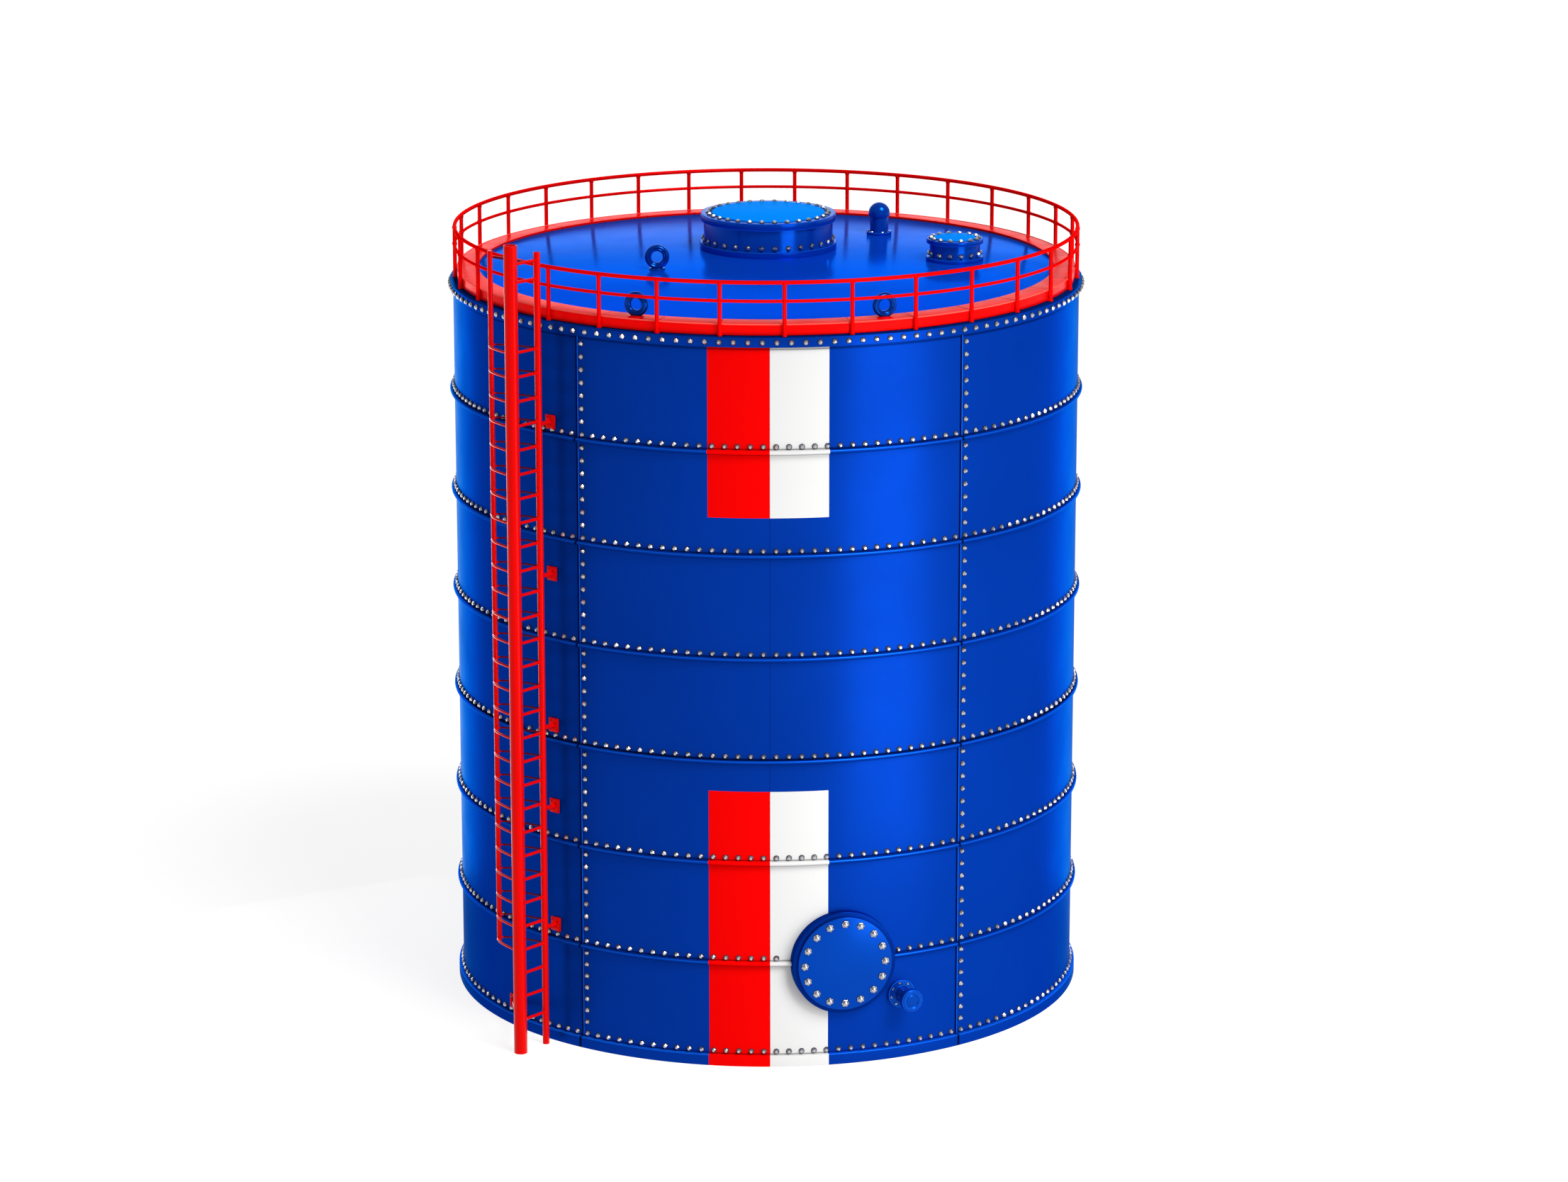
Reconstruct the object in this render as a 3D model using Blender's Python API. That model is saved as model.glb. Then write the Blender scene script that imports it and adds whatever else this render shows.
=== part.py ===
"""A vertical storage tank on level ground, in metres, +Z up, with its striped front towards -Y.

The origin is the foot of the tank's axis. An azimuth is in degrees from the front, -Y, towards +X.
"""

import math

import bmesh
import bpy
from mathutils import Matrix, Vector

# Clearance between pieces that touch, and how far a cutter runs past what it cuts
GAP = 0.0003
OVERCUT = 0.25

# Steps round large, middling and small turned pieces, and the angle that shades as an edge
WIDE_STEPS = 32
MIDDLE_STEPS = 24
SMALL_STEPS = 16
SHARP_DEG = 30.0

# Shell: four wide plates and two narrow ones round, seven courses high, all turned to the first seam
FACET_DEG = 6.0
FIRST_SEAM_DEG = 0.6
SHELL_RADIUS = 4.265
SHELL_WALL = 0.010
PLATE_DEGS = (36.0, 72.0, 72.0, 72.0, 72.0, 36.0)
COURSE_HEIGHT = 1.390
FIRST_RING_HEIGHT = 1.430
RING_COUNT = 6
RING_HEIGHT = 0.055
RING_RADIUS = 4.329
BOTTOM_THICKNESS = 0.012
BASE_FLANGE_TOP = 0.150

# Top angle ring, whose flat leg covers the shell's upper edge
FLANGE_RADIUS = 4.305
FLANGE_BOTTOM = 9.765
FLANGE_TOP = 9.895
FLANGE_LEG_THICKNESS = 0.030
FLANGE_INNER_RADIUS = 4.140

# Roof pan: a flat plate on an upright curb
ROOF_RADIUS = 4.175
ROOF_TOP = 10.030
ROOF_THICKNESS = 0.012
CURB_WALL = 0.020

# Walkway: bent plate with an inner lip, a deck that falls outwards a little, and a fascia
WALK_INNER_RADIUS = 3.920
WALK_INNER_TOP = 10.062
WALK_OUTER_TOP = 10.052
WALK_SHEET = 0.010
FASCIA_THICKNESS = 0.018
FASCIA_BOTTOM = 9.905

# Railing: 32 posts. Each group of bays right of the first post has a count and a width in degrees
RAIL_RADIUS = 4.235
TOP_RAIL_HEIGHT = 10.604
MID_RAIL_HEIGHT = 10.360
TOP_RAIL_TUBE = 0.026
TOP_RAIL_SIDES = 6
MID_RAIL_TUBE = 0.022
POST_TUBE = 0.028
SLIM_SIDES = 4
FIRST_POST_DEG = 3.2
BAYS = ((5, 12.0), (8, 11.3), (6, 10.4))
LAST_BAYS = 13
SECTION_DEG = 90.0

# Ladder: pole and stile stand in one radial plane; stile and cage come in three lengths
LADDER_DEG = -41.4
POLE_RADIUS = 4.990
POLE_TUBE = 0.089
POLE_SIDES = 12
POLE_TOP = 11.000
STILE_RADIUS = 4.500
STILE_TUBE = 0.045
STILE_SIDES = 8
STILE_TOP = 10.840
TIE_RISE = 0.135
RUNG_TUBE = 0.021
RUNG_COUNT = 29
FIRST_RUNG_HEIGHT = 0.450
RUNG_PITCH = 0.3257
RUNGS_BELOW_JOINTS = (10, 20)
BRACKET_HEIGHTS = (1.640, 3.300, 4.420, 6.500, 8.550)
BRACKET_ARM_TUBE = 0.030
OBLIQUE_ARM_STOP = 0.012
THIN_BAR_SIDES = 6
BRACKET_PLATE = (0.160, 0.030, 0.190)
FOOT_BRACKET_DEG = -53.5
FOOT_BRACKET_HEIGHT = 0.320

# Cage: half ellipses at the rungs, held by one upright
CAGE_DEPTH = 0.610
HOOP_TUBE = 0.0175
FIRST_HOOP_RUNG = 3
HOOP_STEPS = 6
CAGE_BAR_TUBE = 0.034
CAGE_BAR_SIDES = 8
CAGE_BAR_TOP = 10.820
CAGE_TIE_HEIGHT = 10.745

# Roof manway
MANWAY_PLACE = (0.03, 1.32)
MANWAY_FLANGE_RADIUS = 0.950
MANWAY_FLANGE_THICKNESS = 0.085
MANWAY_NECK_RADIUS = 0.895
MANWAY_HEIGHT = 0.385
MANWAY_COVER_RADIUS = 0.935
MANWAY_COVER_THICKNESS = 0.097
MANWAY_DISC_RADIUS = 0.780
MANWAY_DISC_RISE = 0.015

# Roof hatch
HATCH_PLACE = (2.585, 0.36)
HATCH_FLANGE_RADIUS = 0.395
HATCH_FLANGE_THICKNESS = 0.050
HATCH_NECK_RADIUS = 0.345
HATCH_HEIGHT = 0.240
HATCH_COVER_RADIUS = 0.388
HATCH_COVER_THICKNESS = 0.060
HATCH_DISC_RADIUS = 0.285
HATCH_DISC_RISE = 0.015

# Vent
VENT_PLACE = (1.590, 2.300)
VENT_FLANGE_RADIUS = 0.176
VENT_FLANGE_THICKNESS = 0.035
VENT_PIPE_RADIUS = 0.128
VENT_PIPE_HEIGHT = 0.285
VENT_DOME_RADIUS = 0.150
VENT_SKIRT_HEIGHT = 0.040
VENT_SKIRT_LAP = 0.030
VENT_DOME_STEP_DEG = 15

# Wall of the necks and of the vent pipe
NECK_WALL = 0.012

# Lifting eyes: one on the roof, two on the walkway
EYE_RING_RADIUS = 0.122
EYE_RING_TUBE = 0.044
EYE_RING_SIDES = 8
EYE_RING_SINK = 0.012
EYE_PAD_RADIUS = 0.110
EYE_PAD_THICKNESS = 0.025
EYE_PAD_SINK = 0.015
ROOF_EYE_PLACE = (-1.48, -0.36)
WALK_EYE_RADIUS = 4.055
WALK_EYE_DEGS = (-24.5, 22.2)

# Shell manhole
MANHOLE_DEG = 13.65
MANHOLE_HEIGHT = 1.430
MANHOLE_COLLAR_RADIUS = 0.700
MANHOLE_HOLE_RADIUS = 0.500
MANHOLE_COLLAR_FACE = 4.365
MANHOLE_COVER_RADIUS = 0.640
MANHOLE_COVER_THICKNESS = 0.050
MANHOLE_HOLE_SIDES = 24
MANHOLE_NUTS = 16
MANHOLE_NUT_CIRCLE = 0.550
MANHOLE_NUT_RADIUS = 0.045
MANHOLE_NUT_HEIGHT = 0.045
MANHOLE_NUT_SIDES = 8

# Nozzle with its blank
NOZZLE_DEG = 24.7
NOZZLE_HEIGHT = 0.885
NOZZLE_FLANGE_RADIUS = 0.190
NOZZLE_FLANGE_FACE = 4.310
NOZZLE_PIPE_RADIUS = 0.100
NOZZLE_PIPE_END = 4.550
NOZZLE_BORE_RADIUS = 0.080
BLANK_RADIUS = 0.152
BLANK_THICKNESS = 0.095
BLANK_RECESS_RADIUS = 0.095
BLANK_RECESS_DEPTH = 0.015
NOZZLE_STEPS = 20
NOZZLE_HOLE_SIDES = 12

# Paints: colour, roughness, metallic
PAINTS = {
    "blue_paint": ((0.004, 0.045, 0.420), 0.25, 0.0),
    "roof_blue": ((0.004, 0.070, 0.600), 0.18, 0.0),
    "red_paint": ((0.850, 0.004, 0.003), 0.25, 0.0),
}


def clear_scene():
    for thing in list(bpy.data.objects):
        bpy.data.objects.remove(thing, do_unlink=True)


def make_paint(name):
    colour, roughness, metallic = PAINTS[name]
    paint = bpy.data.materials.new(name)
    paint.use_nodes = True
    shader = paint.node_tree.nodes["Principled BSDF"]
    shader.inputs["Base Color"].default_value = (*colour, 1.0)
    shader.inputs["Roughness"].default_value = roughness
    shader.inputs["Metallic"].default_value = metallic
    return paint


def at(azimuth, radius, height=0.0):
    """The point at an azimuth, a radius from the tank's axis and a height."""
    angle = math.radians(azimuth)
    return Vector((radius * math.sin(angle), -radius * math.cos(angle), height))


def radial_frame(azimuth, radius, height):
    """Turns a shape made about +Z so that its +Z points straight out of the shell there."""
    turn = Matrix.Rotation(math.radians(azimuth), 4, "Z") @ Matrix.Rotation(math.radians(90.0), 4, "X")
    return Matrix.Translation(at(azimuth, radius, height)) @ turn


def mesh_of(shape, matrix=None):
    """Closes off a bmesh as a mesh with its faces pointing out."""
    bmesh.ops.remove_doubles(shape, verts=shape.verts, dist=1e-6)
    bmesh.ops.recalc_face_normals(shape, faces=shape.faces)
    mesh = bpy.data.meshes.new("shape")
    shape.to_mesh(mesh)
    shape.free()
    if matrix:
        mesh.transform(matrix)
    return mesh


def turned(profile, steps, matrix=None, start=0.0, sweep=360.0):
    """Spins a profile of (radius, height) points about +Z. The axis closes one that starts at radius 0."""
    shape = bmesh.new()
    verts = [shape.verts.new(at(start, radius, height)) for radius, height in profile]
    pairs = list(zip(verts, verts[1:]))
    if profile[0][0] > 0.0:
        pairs.append((verts[-1], verts[0]))
    edges = [shape.edges.new(pair) for pair in pairs]
    bmesh.ops.spin(
        shape, geom=verts + edges, cent=(0, 0, 0), axis=(0, 0, 1),
        angle=math.radians(sweep), steps=steps, use_merge=sweep == 360.0,
    )
    if sweep < 360.0:
        bmesh.ops.holes_fill(shape, edges=[edge for edge in shape.edges if edge.is_boundary])
    return mesh_of(shape, matrix)


def round_profile(radius, height, tube, sides):
    """Points of a tube's section, centred at a radius and a height."""
    angles = [2.0 * math.pi * (k + 0.5) / sides for k in range(sides)]
    return [(radius + tube * math.cos(a), height + tube * math.sin(a)) for a in angles]


def rod(start, end, tube, sides):
    """A straight round bar from one point to another."""
    run = end - start
    shape = bmesh.new()
    bmesh.ops.create_cone(
        shape, cap_ends=True, segments=sides, radius1=tube, radius2=tube, depth=run.length
    )
    turn = run.to_track_quat("Z", "Y").to_matrix().to_4x4()
    return mesh_of(shape, Matrix.Translation((start + end) / 2) @ turn)


def block(size, matrix):
    shape = bmesh.new()
    bmesh.ops.create_cube(shape, size=1.0)
    bmesh.ops.scale(shape, vec=size, verts=shape.verts)
    return mesh_of(shape, matrix)


def bent_rod(points, tube):
    """A four-sided bar along a run of points, from a bevelled curve."""
    curve = bpy.data.curves.new("bar", "CURVE")
    curve.dimensions = "3D"
    curve.bevel_depth = tube
    curve.bevel_resolution = 0
    curve.use_fill_caps = True
    spline = curve.splines.new("POLY")
    spline.points.add(len(points) - 1)
    for point, place in zip(spline.points, points):
        point.co = (*place, 1.0)
    guide = bpy.data.objects.new("bar", curve)
    bpy.context.scene.collection.objects.link(guide)
    mesh = evaluated_mesh(guide)
    bpy.data.objects.remove(guide)
    shape = bmesh.new()
    shape.from_mesh(mesh)
    return mesh_of(shape)


def evaluated_mesh(thing):
    bpy.context.view_layer.update()
    graph = bpy.context.evaluated_depsgraph_get()
    return bpy.data.meshes.new_from_object(thing.evaluated_get(graph))


def add_part(name, mesh, paint):
    """One named sub-part with its own material."""
    part = bpy.data.objects.new(name, mesh)
    bpy.context.scene.collection.objects.link(part)
    mesh.name = name
    mesh.materials.clear()
    mesh.materials.append(paint)
    mesh.shade_smooth()
    mesh.set_sharp_from_angle(angle=math.radians(SHARP_DEG))
    return part


def combine(mesh, others, operation):
    """Joins other closed shapes to this one, or cuts them from it."""
    base = bpy.data.objects.new("base", mesh)
    bpy.context.scene.collection.objects.link(base)
    group = bpy.data.collections.new("tools")
    bpy.context.scene.collection.children.link(group)
    for other in others:
        tool = bpy.data.objects.new("tool", other)
        tool.hide_render = True
        tool.display_type = "WIRE"
        group.objects.link(tool)
    boolean = base.modifiers.new("combine", "BOOLEAN")
    boolean.operation = operation
    boolean.solver = "EXACT"
    boolean.operand_type = "COLLECTION"
    boolean.collection = group
    result = evaluated_mesh(base)
    for tool in [*group.objects, base]:
        bpy.data.objects.remove(tool, do_unlink=True)
    bpy.data.collections.remove(group)
    return result


def hoop(profile):
    """A piece turned all round the tank, its facets in step with the shell's."""
    return turned(profile, round(360.0 / FACET_DEG), start=FIRST_SEAM_DEG)


def sector(profile, start, sweep):
    """A turned piece of the tank that starts some degrees past the first seam, trimmed at each end."""
    trim = math.degrees(GAP / 2.0 / SHELL_RADIUS)
    first = FIRST_SEAM_DEG + start + trim
    return turned(profile, round(sweep / FACET_DEG), start=first, sweep=sweep - 2.0 * trim)


def tank_drum():
    """A solid drum that stands for the shell and everything inside it."""
    radius = SHELL_RADIUS + GAP
    profile = [(0.0, -OVERCUT), (radius, -OVERCUT), (radius, FLANGE_TOP), (0.0, FLANGE_TOP)]
    return hoop(profile)


def shell_cutter(azimuth, height, radius, sides):
    """A round cutter that runs straight through the shell."""
    inner = at(azimuth, SHELL_RADIUS - OVERCUT, height)
    outer = at(azimuth, SHELL_RADIUS + OVERCUT, height)
    return rod(inner, outer, radius, sides)


def make_bottom_plate(paint):
    profile = [(0.0, 0.0), (RING_RADIUS, 0.0), (RING_RADIUS, BOTTOM_THICKNESS), (0.0, BOTTOM_THICKNESS)]
    add_part("bottom_plate", hoop(profile), paint)


def make_shell(paint):
    inner = SHELL_RADIUS - SHELL_WALL
    low = BOTTOM_THICKNESS + GAP
    high = FLANGE_TOP - FLANGE_LEG_THICKNESS - GAP
    profile = [(inner, low), (SHELL_RADIUS, low), (SHELL_RADIUS, high), (inner, high)]
    start = 0.0
    for number, width in enumerate(PLATE_DEGS, 1):
        mesh = sector(profile, start, width)
        if number == 1:
            holes = [
                shell_cutter(MANHOLE_DEG, MANHOLE_HEIGHT, MANHOLE_HOLE_RADIUS, MANHOLE_HOLE_SIDES),
                shell_cutter(NOZZLE_DEG, NOZZLE_HEIGHT, NOZZLE_BORE_RADIUS, NOZZLE_HOLE_SIDES),
            ]
            mesh = combine(mesh, holes, "DIFFERENCE")
        add_part(f"shell_plate_{number}", mesh, paint)
        start += width


def band(low, high, outer):
    """A flat hoop round the outside of the shell."""
    inner = SHELL_RADIUS + GAP
    return hoop([(inner, low), (outer, low), (outer, high), (inner, high)])


def make_rings(paint):
    add_part("base_flange", band(BOTTOM_THICKNESS + GAP, BASE_FLANGE_TOP, RING_RADIUS), paint)
    for k in range(RING_COUNT):
        middle = FIRST_RING_HEIGHT + k * COURSE_HEIGHT
        mesh = band(middle - RING_HEIGHT / 2.0, middle + RING_HEIGHT / 2.0, RING_RADIUS)
        if middle == MANHOLE_HEIGHT:
            hole = shell_cutter(MANHOLE_DEG, middle, MANHOLE_COLLAR_RADIUS + GAP, WIDE_STEPS)
            mesh = combine(mesh, [hole], "DIFFERENCE")
        add_part(f"course_ring_{k + 1}", mesh, paint)


def make_top_flange(paint):
    leg = FLANGE_TOP - FLANGE_LEG_THICKNESS
    wall = SHELL_RADIUS + GAP
    profile = [
        (FLANGE_INNER_RADIUS, leg), (wall, leg), (wall, FLANGE_BOTTOM),
        (FLANGE_RADIUS, FLANGE_BOTTOM), (FLANGE_RADIUS, FLANGE_TOP), (FLANGE_INNER_RADIUS, FLANGE_TOP),
    ]
    add_part("top_flange", hoop(profile), paint)


def make_roof(paint):
    under = ROOF_TOP - ROOF_THICKNESS
    foot = FLANGE_TOP + GAP
    inner = ROOF_RADIUS - CURB_WALL
    profile = [
        (0.0, under), (inner, under), (inner, foot),
        (ROOF_RADIUS, foot), (ROOF_RADIUS, ROOF_TOP), (0.0, ROOF_TOP),
    ]
    holes = []
    for (x, y), neck in (
        (MANWAY_PLACE, MANWAY_NECK_RADIUS),
        (HATCH_PLACE, HATCH_NECK_RADIUS),
        (VENT_PLACE, VENT_PIPE_RADIUS),
    ):
        low = Vector((x, y, ROOF_TOP - OVERCUT))
        high = Vector((x, y, ROOF_TOP + OVERCUT))
        holes.append(rod(low, high, neck - NECK_WALL, MIDDLE_STEPS))
    add_part("roof", combine(hoop(profile), holes, "DIFFERENCE"), paint)


def deck_height(radius):
    """Height of the deck's top at a radius."""
    outer = RAIL_RADIUS - POST_TUBE - GAP
    fall = (WALK_INNER_TOP - WALK_OUTER_TOP) / (outer - WALK_INNER_RADIUS)
    return WALK_INNER_TOP - fall * (radius - WALK_INNER_RADIUS)


def make_walkway(paint):
    outer = RAIL_RADIUS - POST_TUBE - GAP
    fascia = outer - FASCIA_THICKNESS
    lip = WALK_INNER_RADIUS + WALK_SHEET
    profile = [
        (outer, FASCIA_BOTTOM), (outer, WALK_OUTER_TOP),
        (WALK_INNER_RADIUS, WALK_INNER_TOP), (WALK_INNER_RADIUS, ROOF_TOP + GAP),
        (lip, ROOF_TOP + GAP), (lip, deck_height(lip) - WALK_SHEET),
        (fascia, deck_height(fascia) - WALK_SHEET), (fascia, FASCIA_BOTTOM),
    ]
    for k in range(round(360.0 / SECTION_DEG)):
        mesh = sector(profile, k * SECTION_DEG, SECTION_DEG)
        add_part(f"walkway_{k + 1}", mesh, paint)


def post_azimuths():
    rest = 360.0 - sum(count * width for count, width in BAYS)
    azimuths = []
    azimuth = FIRST_POST_DEG
    for count, width in (*BAYS, (LAST_BAYS, rest / LAST_BAYS)):
        for _ in range(count):
            azimuths.append(azimuth % 360.0)
            azimuth += width
    return azimuths


def make_railing(paint):
    rails = (
        round_profile(RAIL_RADIUS, TOP_RAIL_HEIGHT, TOP_RAIL_TUBE, TOP_RAIL_SIDES),
        round_profile(RAIL_RADIUS, MID_RAIL_HEIGHT, MID_RAIL_TUBE, SLIM_SIDES),
    )
    foot = FLANGE_TOP + GAP
    for k in range(round(360.0 / SECTION_DEG)):
        start = k * SECTION_DEG
        top, middle = (sector(profile, start, SECTION_DEG) for profile in rails)
        posts = []
        for azimuth in post_azimuths():
            if start <= (azimuth - FIRST_SEAM_DEG) % 360.0 < start + SECTION_DEG:
                post_top = at(azimuth, RAIL_RADIUS, TOP_RAIL_HEIGHT)
                posts.append(rod(at(azimuth, RAIL_RADIUS, foot), post_top, POST_TUBE, SLIM_SIDES))
        add_part(f"railing_{k + 1}", combine(top, [middle, *posts], "UNION"), paint)


def ladder_bracket(height):
    """A short arm from the stile to a plate on the shell."""
    plate_back = SHELL_RADIUS + GAP
    middle = plate_back + BRACKET_PLATE[1] / 2.0
    turn = Matrix.Rotation(math.radians(LADDER_DEG), 4, "Z")
    plate = block(BRACKET_PLATE, Matrix.Translation(at(LADDER_DEG, middle, height)) @ turn)
    stile = at(LADDER_DEG, STILE_RADIUS, height)
    return [rod(stile, at(LADDER_DEG, middle, height), BRACKET_ARM_TUBE, THIN_BAR_SIDES), plate]


def foot_bracket():
    """The strut from the pole's foot to a plate on the shell, beside the cage."""
    middle = SHELL_RADIUS + GAP + BRACKET_PLATE[1] / 2.0
    turn = Matrix.Rotation(math.radians(FOOT_BRACKET_DEG), 4, "Z")
    seat = at(FOOT_BRACKET_DEG, middle, FOOT_BRACKET_HEIGHT)
    arm_end = at(FOOT_BRACKET_DEG, middle + OBLIQUE_ARM_STOP, FOOT_BRACKET_HEIGHT)
    pole = at(LADDER_DEG, POLE_RADIUS, FOOT_BRACKET_HEIGHT)
    arm = rod(pole, arm_end, BRACKET_ARM_TUBE, THIN_BAR_SIDES)
    return [arm, block(BRACKET_PLATE, Matrix.Translation(seat) @ turn)]


def rung_heights():
    return [FIRST_RUNG_HEIGHT + k * RUNG_PITCH for k in range(RUNG_COUNT)]


def lengths(foot, top):
    """The lower and upper end of each length of an upright, with a clearance above each joint."""
    joints = [FIRST_RUNG_HEIGHT + (rungs - 0.5) * RUNG_PITCH for rungs in RUNGS_BELOW_JOINTS]
    lows = [foot, *(joint + GAP for joint in joints)]
    return list(zip(lows, [*joints, top]))


def pole(low, high, tube):
    return rod(at(LADDER_DEG, POLE_RADIUS, low), at(LADDER_DEG, POLE_RADIUS, high), tube, POLE_SIDES)


def stile(low, high, tube):
    return rod(at(LADDER_DEG, STILE_RADIUS, low), at(LADDER_DEG, STILE_RADIUS, high), tube, STILE_SIDES)


def make_ladder(paint):
    whole_pole = combine(pole(0.0, POLE_TOP, POLE_TUBE), foot_bracket(), "UNION")
    add_part("ladder_pole", whole_pole, paint)
    room_for_pole = pole(-OVERCUT, POLE_TOP + OVERCUT, POLE_TUBE + GAP)
    for number, (low, high) in enumerate(lengths(0.0, STILE_TOP), 1):
        others = []
        for height in [*rung_heights(), MID_RAIL_HEIGHT + TIE_RISE, TOP_RAIL_HEIGHT + TIE_RISE]:
            if low < height < high:
                outer = at(LADDER_DEG, POLE_RADIUS, height)
                inner = at(LADDER_DEG, STILE_RADIUS, height)
                others.append(rod(outer, inner, RUNG_TUBE, THIN_BAR_SIDES))
        for height in BRACKET_HEIGHTS:
            if low < height < high:
                others += ladder_bracket(height)
        section = combine(stile(low, high, STILE_TUBE), others, "UNION")
        section = combine(section, [room_for_pole.copy()], "DIFFERENCE")
        add_part(f"ladder_section_{number}", section, paint)


def cage_point(angle, height):
    """A point on the hoop's half ellipse: 0 is at the pole, pi at the stile."""
    middle = at(LADDER_DEG, (POLE_RADIUS + STILE_RADIUS) / 2.0, height)
    outward = at(LADDER_DEG, 1.0)
    sideways = at(LADDER_DEG - 90.0, 1.0)
    half = (POLE_RADIUS - STILE_RADIUS) / 2.0
    return middle + outward * half * math.cos(angle) + sideways * CAGE_DEPTH * math.sin(angle)


def cage_tie():
    """A short bar from the cage's upright down to the top rail's middle, to be coped round the rail."""
    start = cage_point(math.pi / 2.0, CAGE_TIE_HEIGHT)
    azimuth = math.degrees(math.atan2(start.x, -start.y))
    return rod(start, at(azimuth, RAIL_RADIUS, TOP_RAIL_HEIGHT), HOOP_TUBE, THIN_BAR_SIDES)


def make_cage(paint):
    heights = rung_heights()[FIRST_HOOP_RUNG:]
    angles = [math.pi * k / HOOP_STEPS for k in range(HOOP_STEPS + 1)]
    top = POLE_TOP + OVERCUT
    stands = [
        pole(-OVERCUT, top, POLE_TUBE + GAP),
        stile(-OVERCUT, top, STILE_TUBE + GAP),
        hoop(round_profile(RAIL_RADIUS, TOP_RAIL_HEIGHT, TOP_RAIL_TUBE + GAP, TOP_RAIL_SIDES)),
    ]
    for number, (low, high) in enumerate(lengths(heights[0] - CAGE_BAR_TUBE, CAGE_BAR_TOP), 1):
        crown = math.pi / 2.0
        bar = rod(cage_point(crown, low), cage_point(crown, high), CAGE_BAR_TUBE, CAGE_BAR_SIDES)
        pieces = []
        for height in heights:
            if low < height < high:
                pieces.append(bent_rod([cage_point(angle, height) for angle in angles], HOOP_TUBE))
        if low < TOP_RAIL_HEIGHT < high:
            pieces.append(cage_tie())
        section = combine(bar, pieces, "UNION")
        section = combine(section, [stand.copy() for stand in stands], "DIFFERENCE")
        add_part(f"cage_section_{number}", section, paint)


def neck_profile(flange, thickness, neck, height):
    """A flanged open pipe that stands on z = 0."""
    bore = neck - NECK_WALL
    return [
        (bore, 0.0), (flange, 0.0), (flange, thickness),
        (neck, thickness), (neck, height), (bore, height),
    ]


def cover_profile(radius, thickness, disc, rise):
    """A flat cover with a raised disc in its middle."""
    top = thickness + rise
    return [(0.0, 0.0), (radius, 0.0), (radius, thickness), (disc, thickness), (disc, top), (0.0, top)]


def make_manway(paint):
    stand = Matrix.Translation((*MANWAY_PLACE, ROOF_TOP + GAP))
    neck = neck_profile(MANWAY_FLANGE_RADIUS, MANWAY_FLANGE_THICKNESS, MANWAY_NECK_RADIUS, MANWAY_HEIGHT)
    add_part("manway_neck", turned(neck, WIDE_STEPS, stand), paint)
    lid = cover_profile(MANWAY_COVER_RADIUS, MANWAY_COVER_THICKNESS, MANWAY_DISC_RADIUS, MANWAY_DISC_RISE)
    seat = Matrix.Translation((0.0, 0.0, MANWAY_HEIGHT + GAP)) @ stand
    add_part("manway_cover", turned(lid, WIDE_STEPS, seat), paint)


def make_hatch(paint):
    stand = Matrix.Translation((*HATCH_PLACE, ROOF_TOP + GAP))
    neck = neck_profile(HATCH_FLANGE_RADIUS, HATCH_FLANGE_THICKNESS, HATCH_NECK_RADIUS, HATCH_HEIGHT)
    add_part("hatch_neck", turned(neck, MIDDLE_STEPS, stand), paint)
    lid = cover_profile(HATCH_COVER_RADIUS, HATCH_COVER_THICKNESS, HATCH_DISC_RADIUS, HATCH_DISC_RISE)
    seat = Matrix.Translation((0.0, 0.0, HATCH_HEIGHT + GAP)) @ stand
    add_part("hatch_cover", turned(lid, MIDDLE_STEPS, seat), paint)


def make_vent(paint):
    stand = Matrix.Translation((*VENT_PLACE, ROOF_TOP + GAP))
    pipe = neck_profile(VENT_FLANGE_RADIUS, VENT_FLANGE_THICKNESS, VENT_PIPE_RADIUS, VENT_PIPE_HEIGHT)
    add_part("vent_pipe", turned(pipe, SMALL_STEPS, stand), paint)
    inner = VENT_PIPE_RADIUS + GAP
    seat = VENT_PIPE_HEIGHT + GAP
    skirt = VENT_PIPE_HEIGHT - VENT_SKIRT_LAP
    spring = skirt + VENT_SKIRT_HEIGHT
    arc = [math.radians(angle) for angle in range(0, 90, VENT_DOME_STEP_DEG)]
    dome = [(VENT_DOME_RADIUS * math.cos(a), spring + VENT_DOME_RADIUS * math.sin(a)) for a in arc]
    profile = [(0.0, seat), (inner, seat), (inner, skirt), (VENT_DOME_RADIUS, skirt), *dome]
    profile.append((0.0, spring + VENT_DOME_RADIUS))
    add_part("vent_cap", turned(profile, SMALL_STEPS, stand), paint)


def lifting_eye(place, azimuth, foot):
    """An upright ring that faces an azimuth, on a round pad whose underside is at a height."""
    top = foot + EYE_PAD_THICKNESS
    centre = top + EYE_RING_RADIUS + EYE_RING_TUBE - EYE_RING_SINK
    face = Matrix.Rotation(math.radians(azimuth), 4, "Z") @ Matrix.Rotation(math.radians(90.0), 4, "X")
    where = Matrix.Translation((place.x, place.y, centre)) @ face
    section = round_profile(EYE_RING_RADIUS, 0.0, EYE_RING_TUBE, EYE_RING_SIDES)
    ring = turned(section, SMALL_STEPS, where)
    spot = Vector((place.x, place.y, 0.0))
    up = Vector((0.0, 0.0, 1.0))
    pad = rod(spot + up * foot, spot + up * top, EYE_PAD_RADIUS, SMALL_STEPS)
    return combine(ring, [pad], "UNION")


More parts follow.
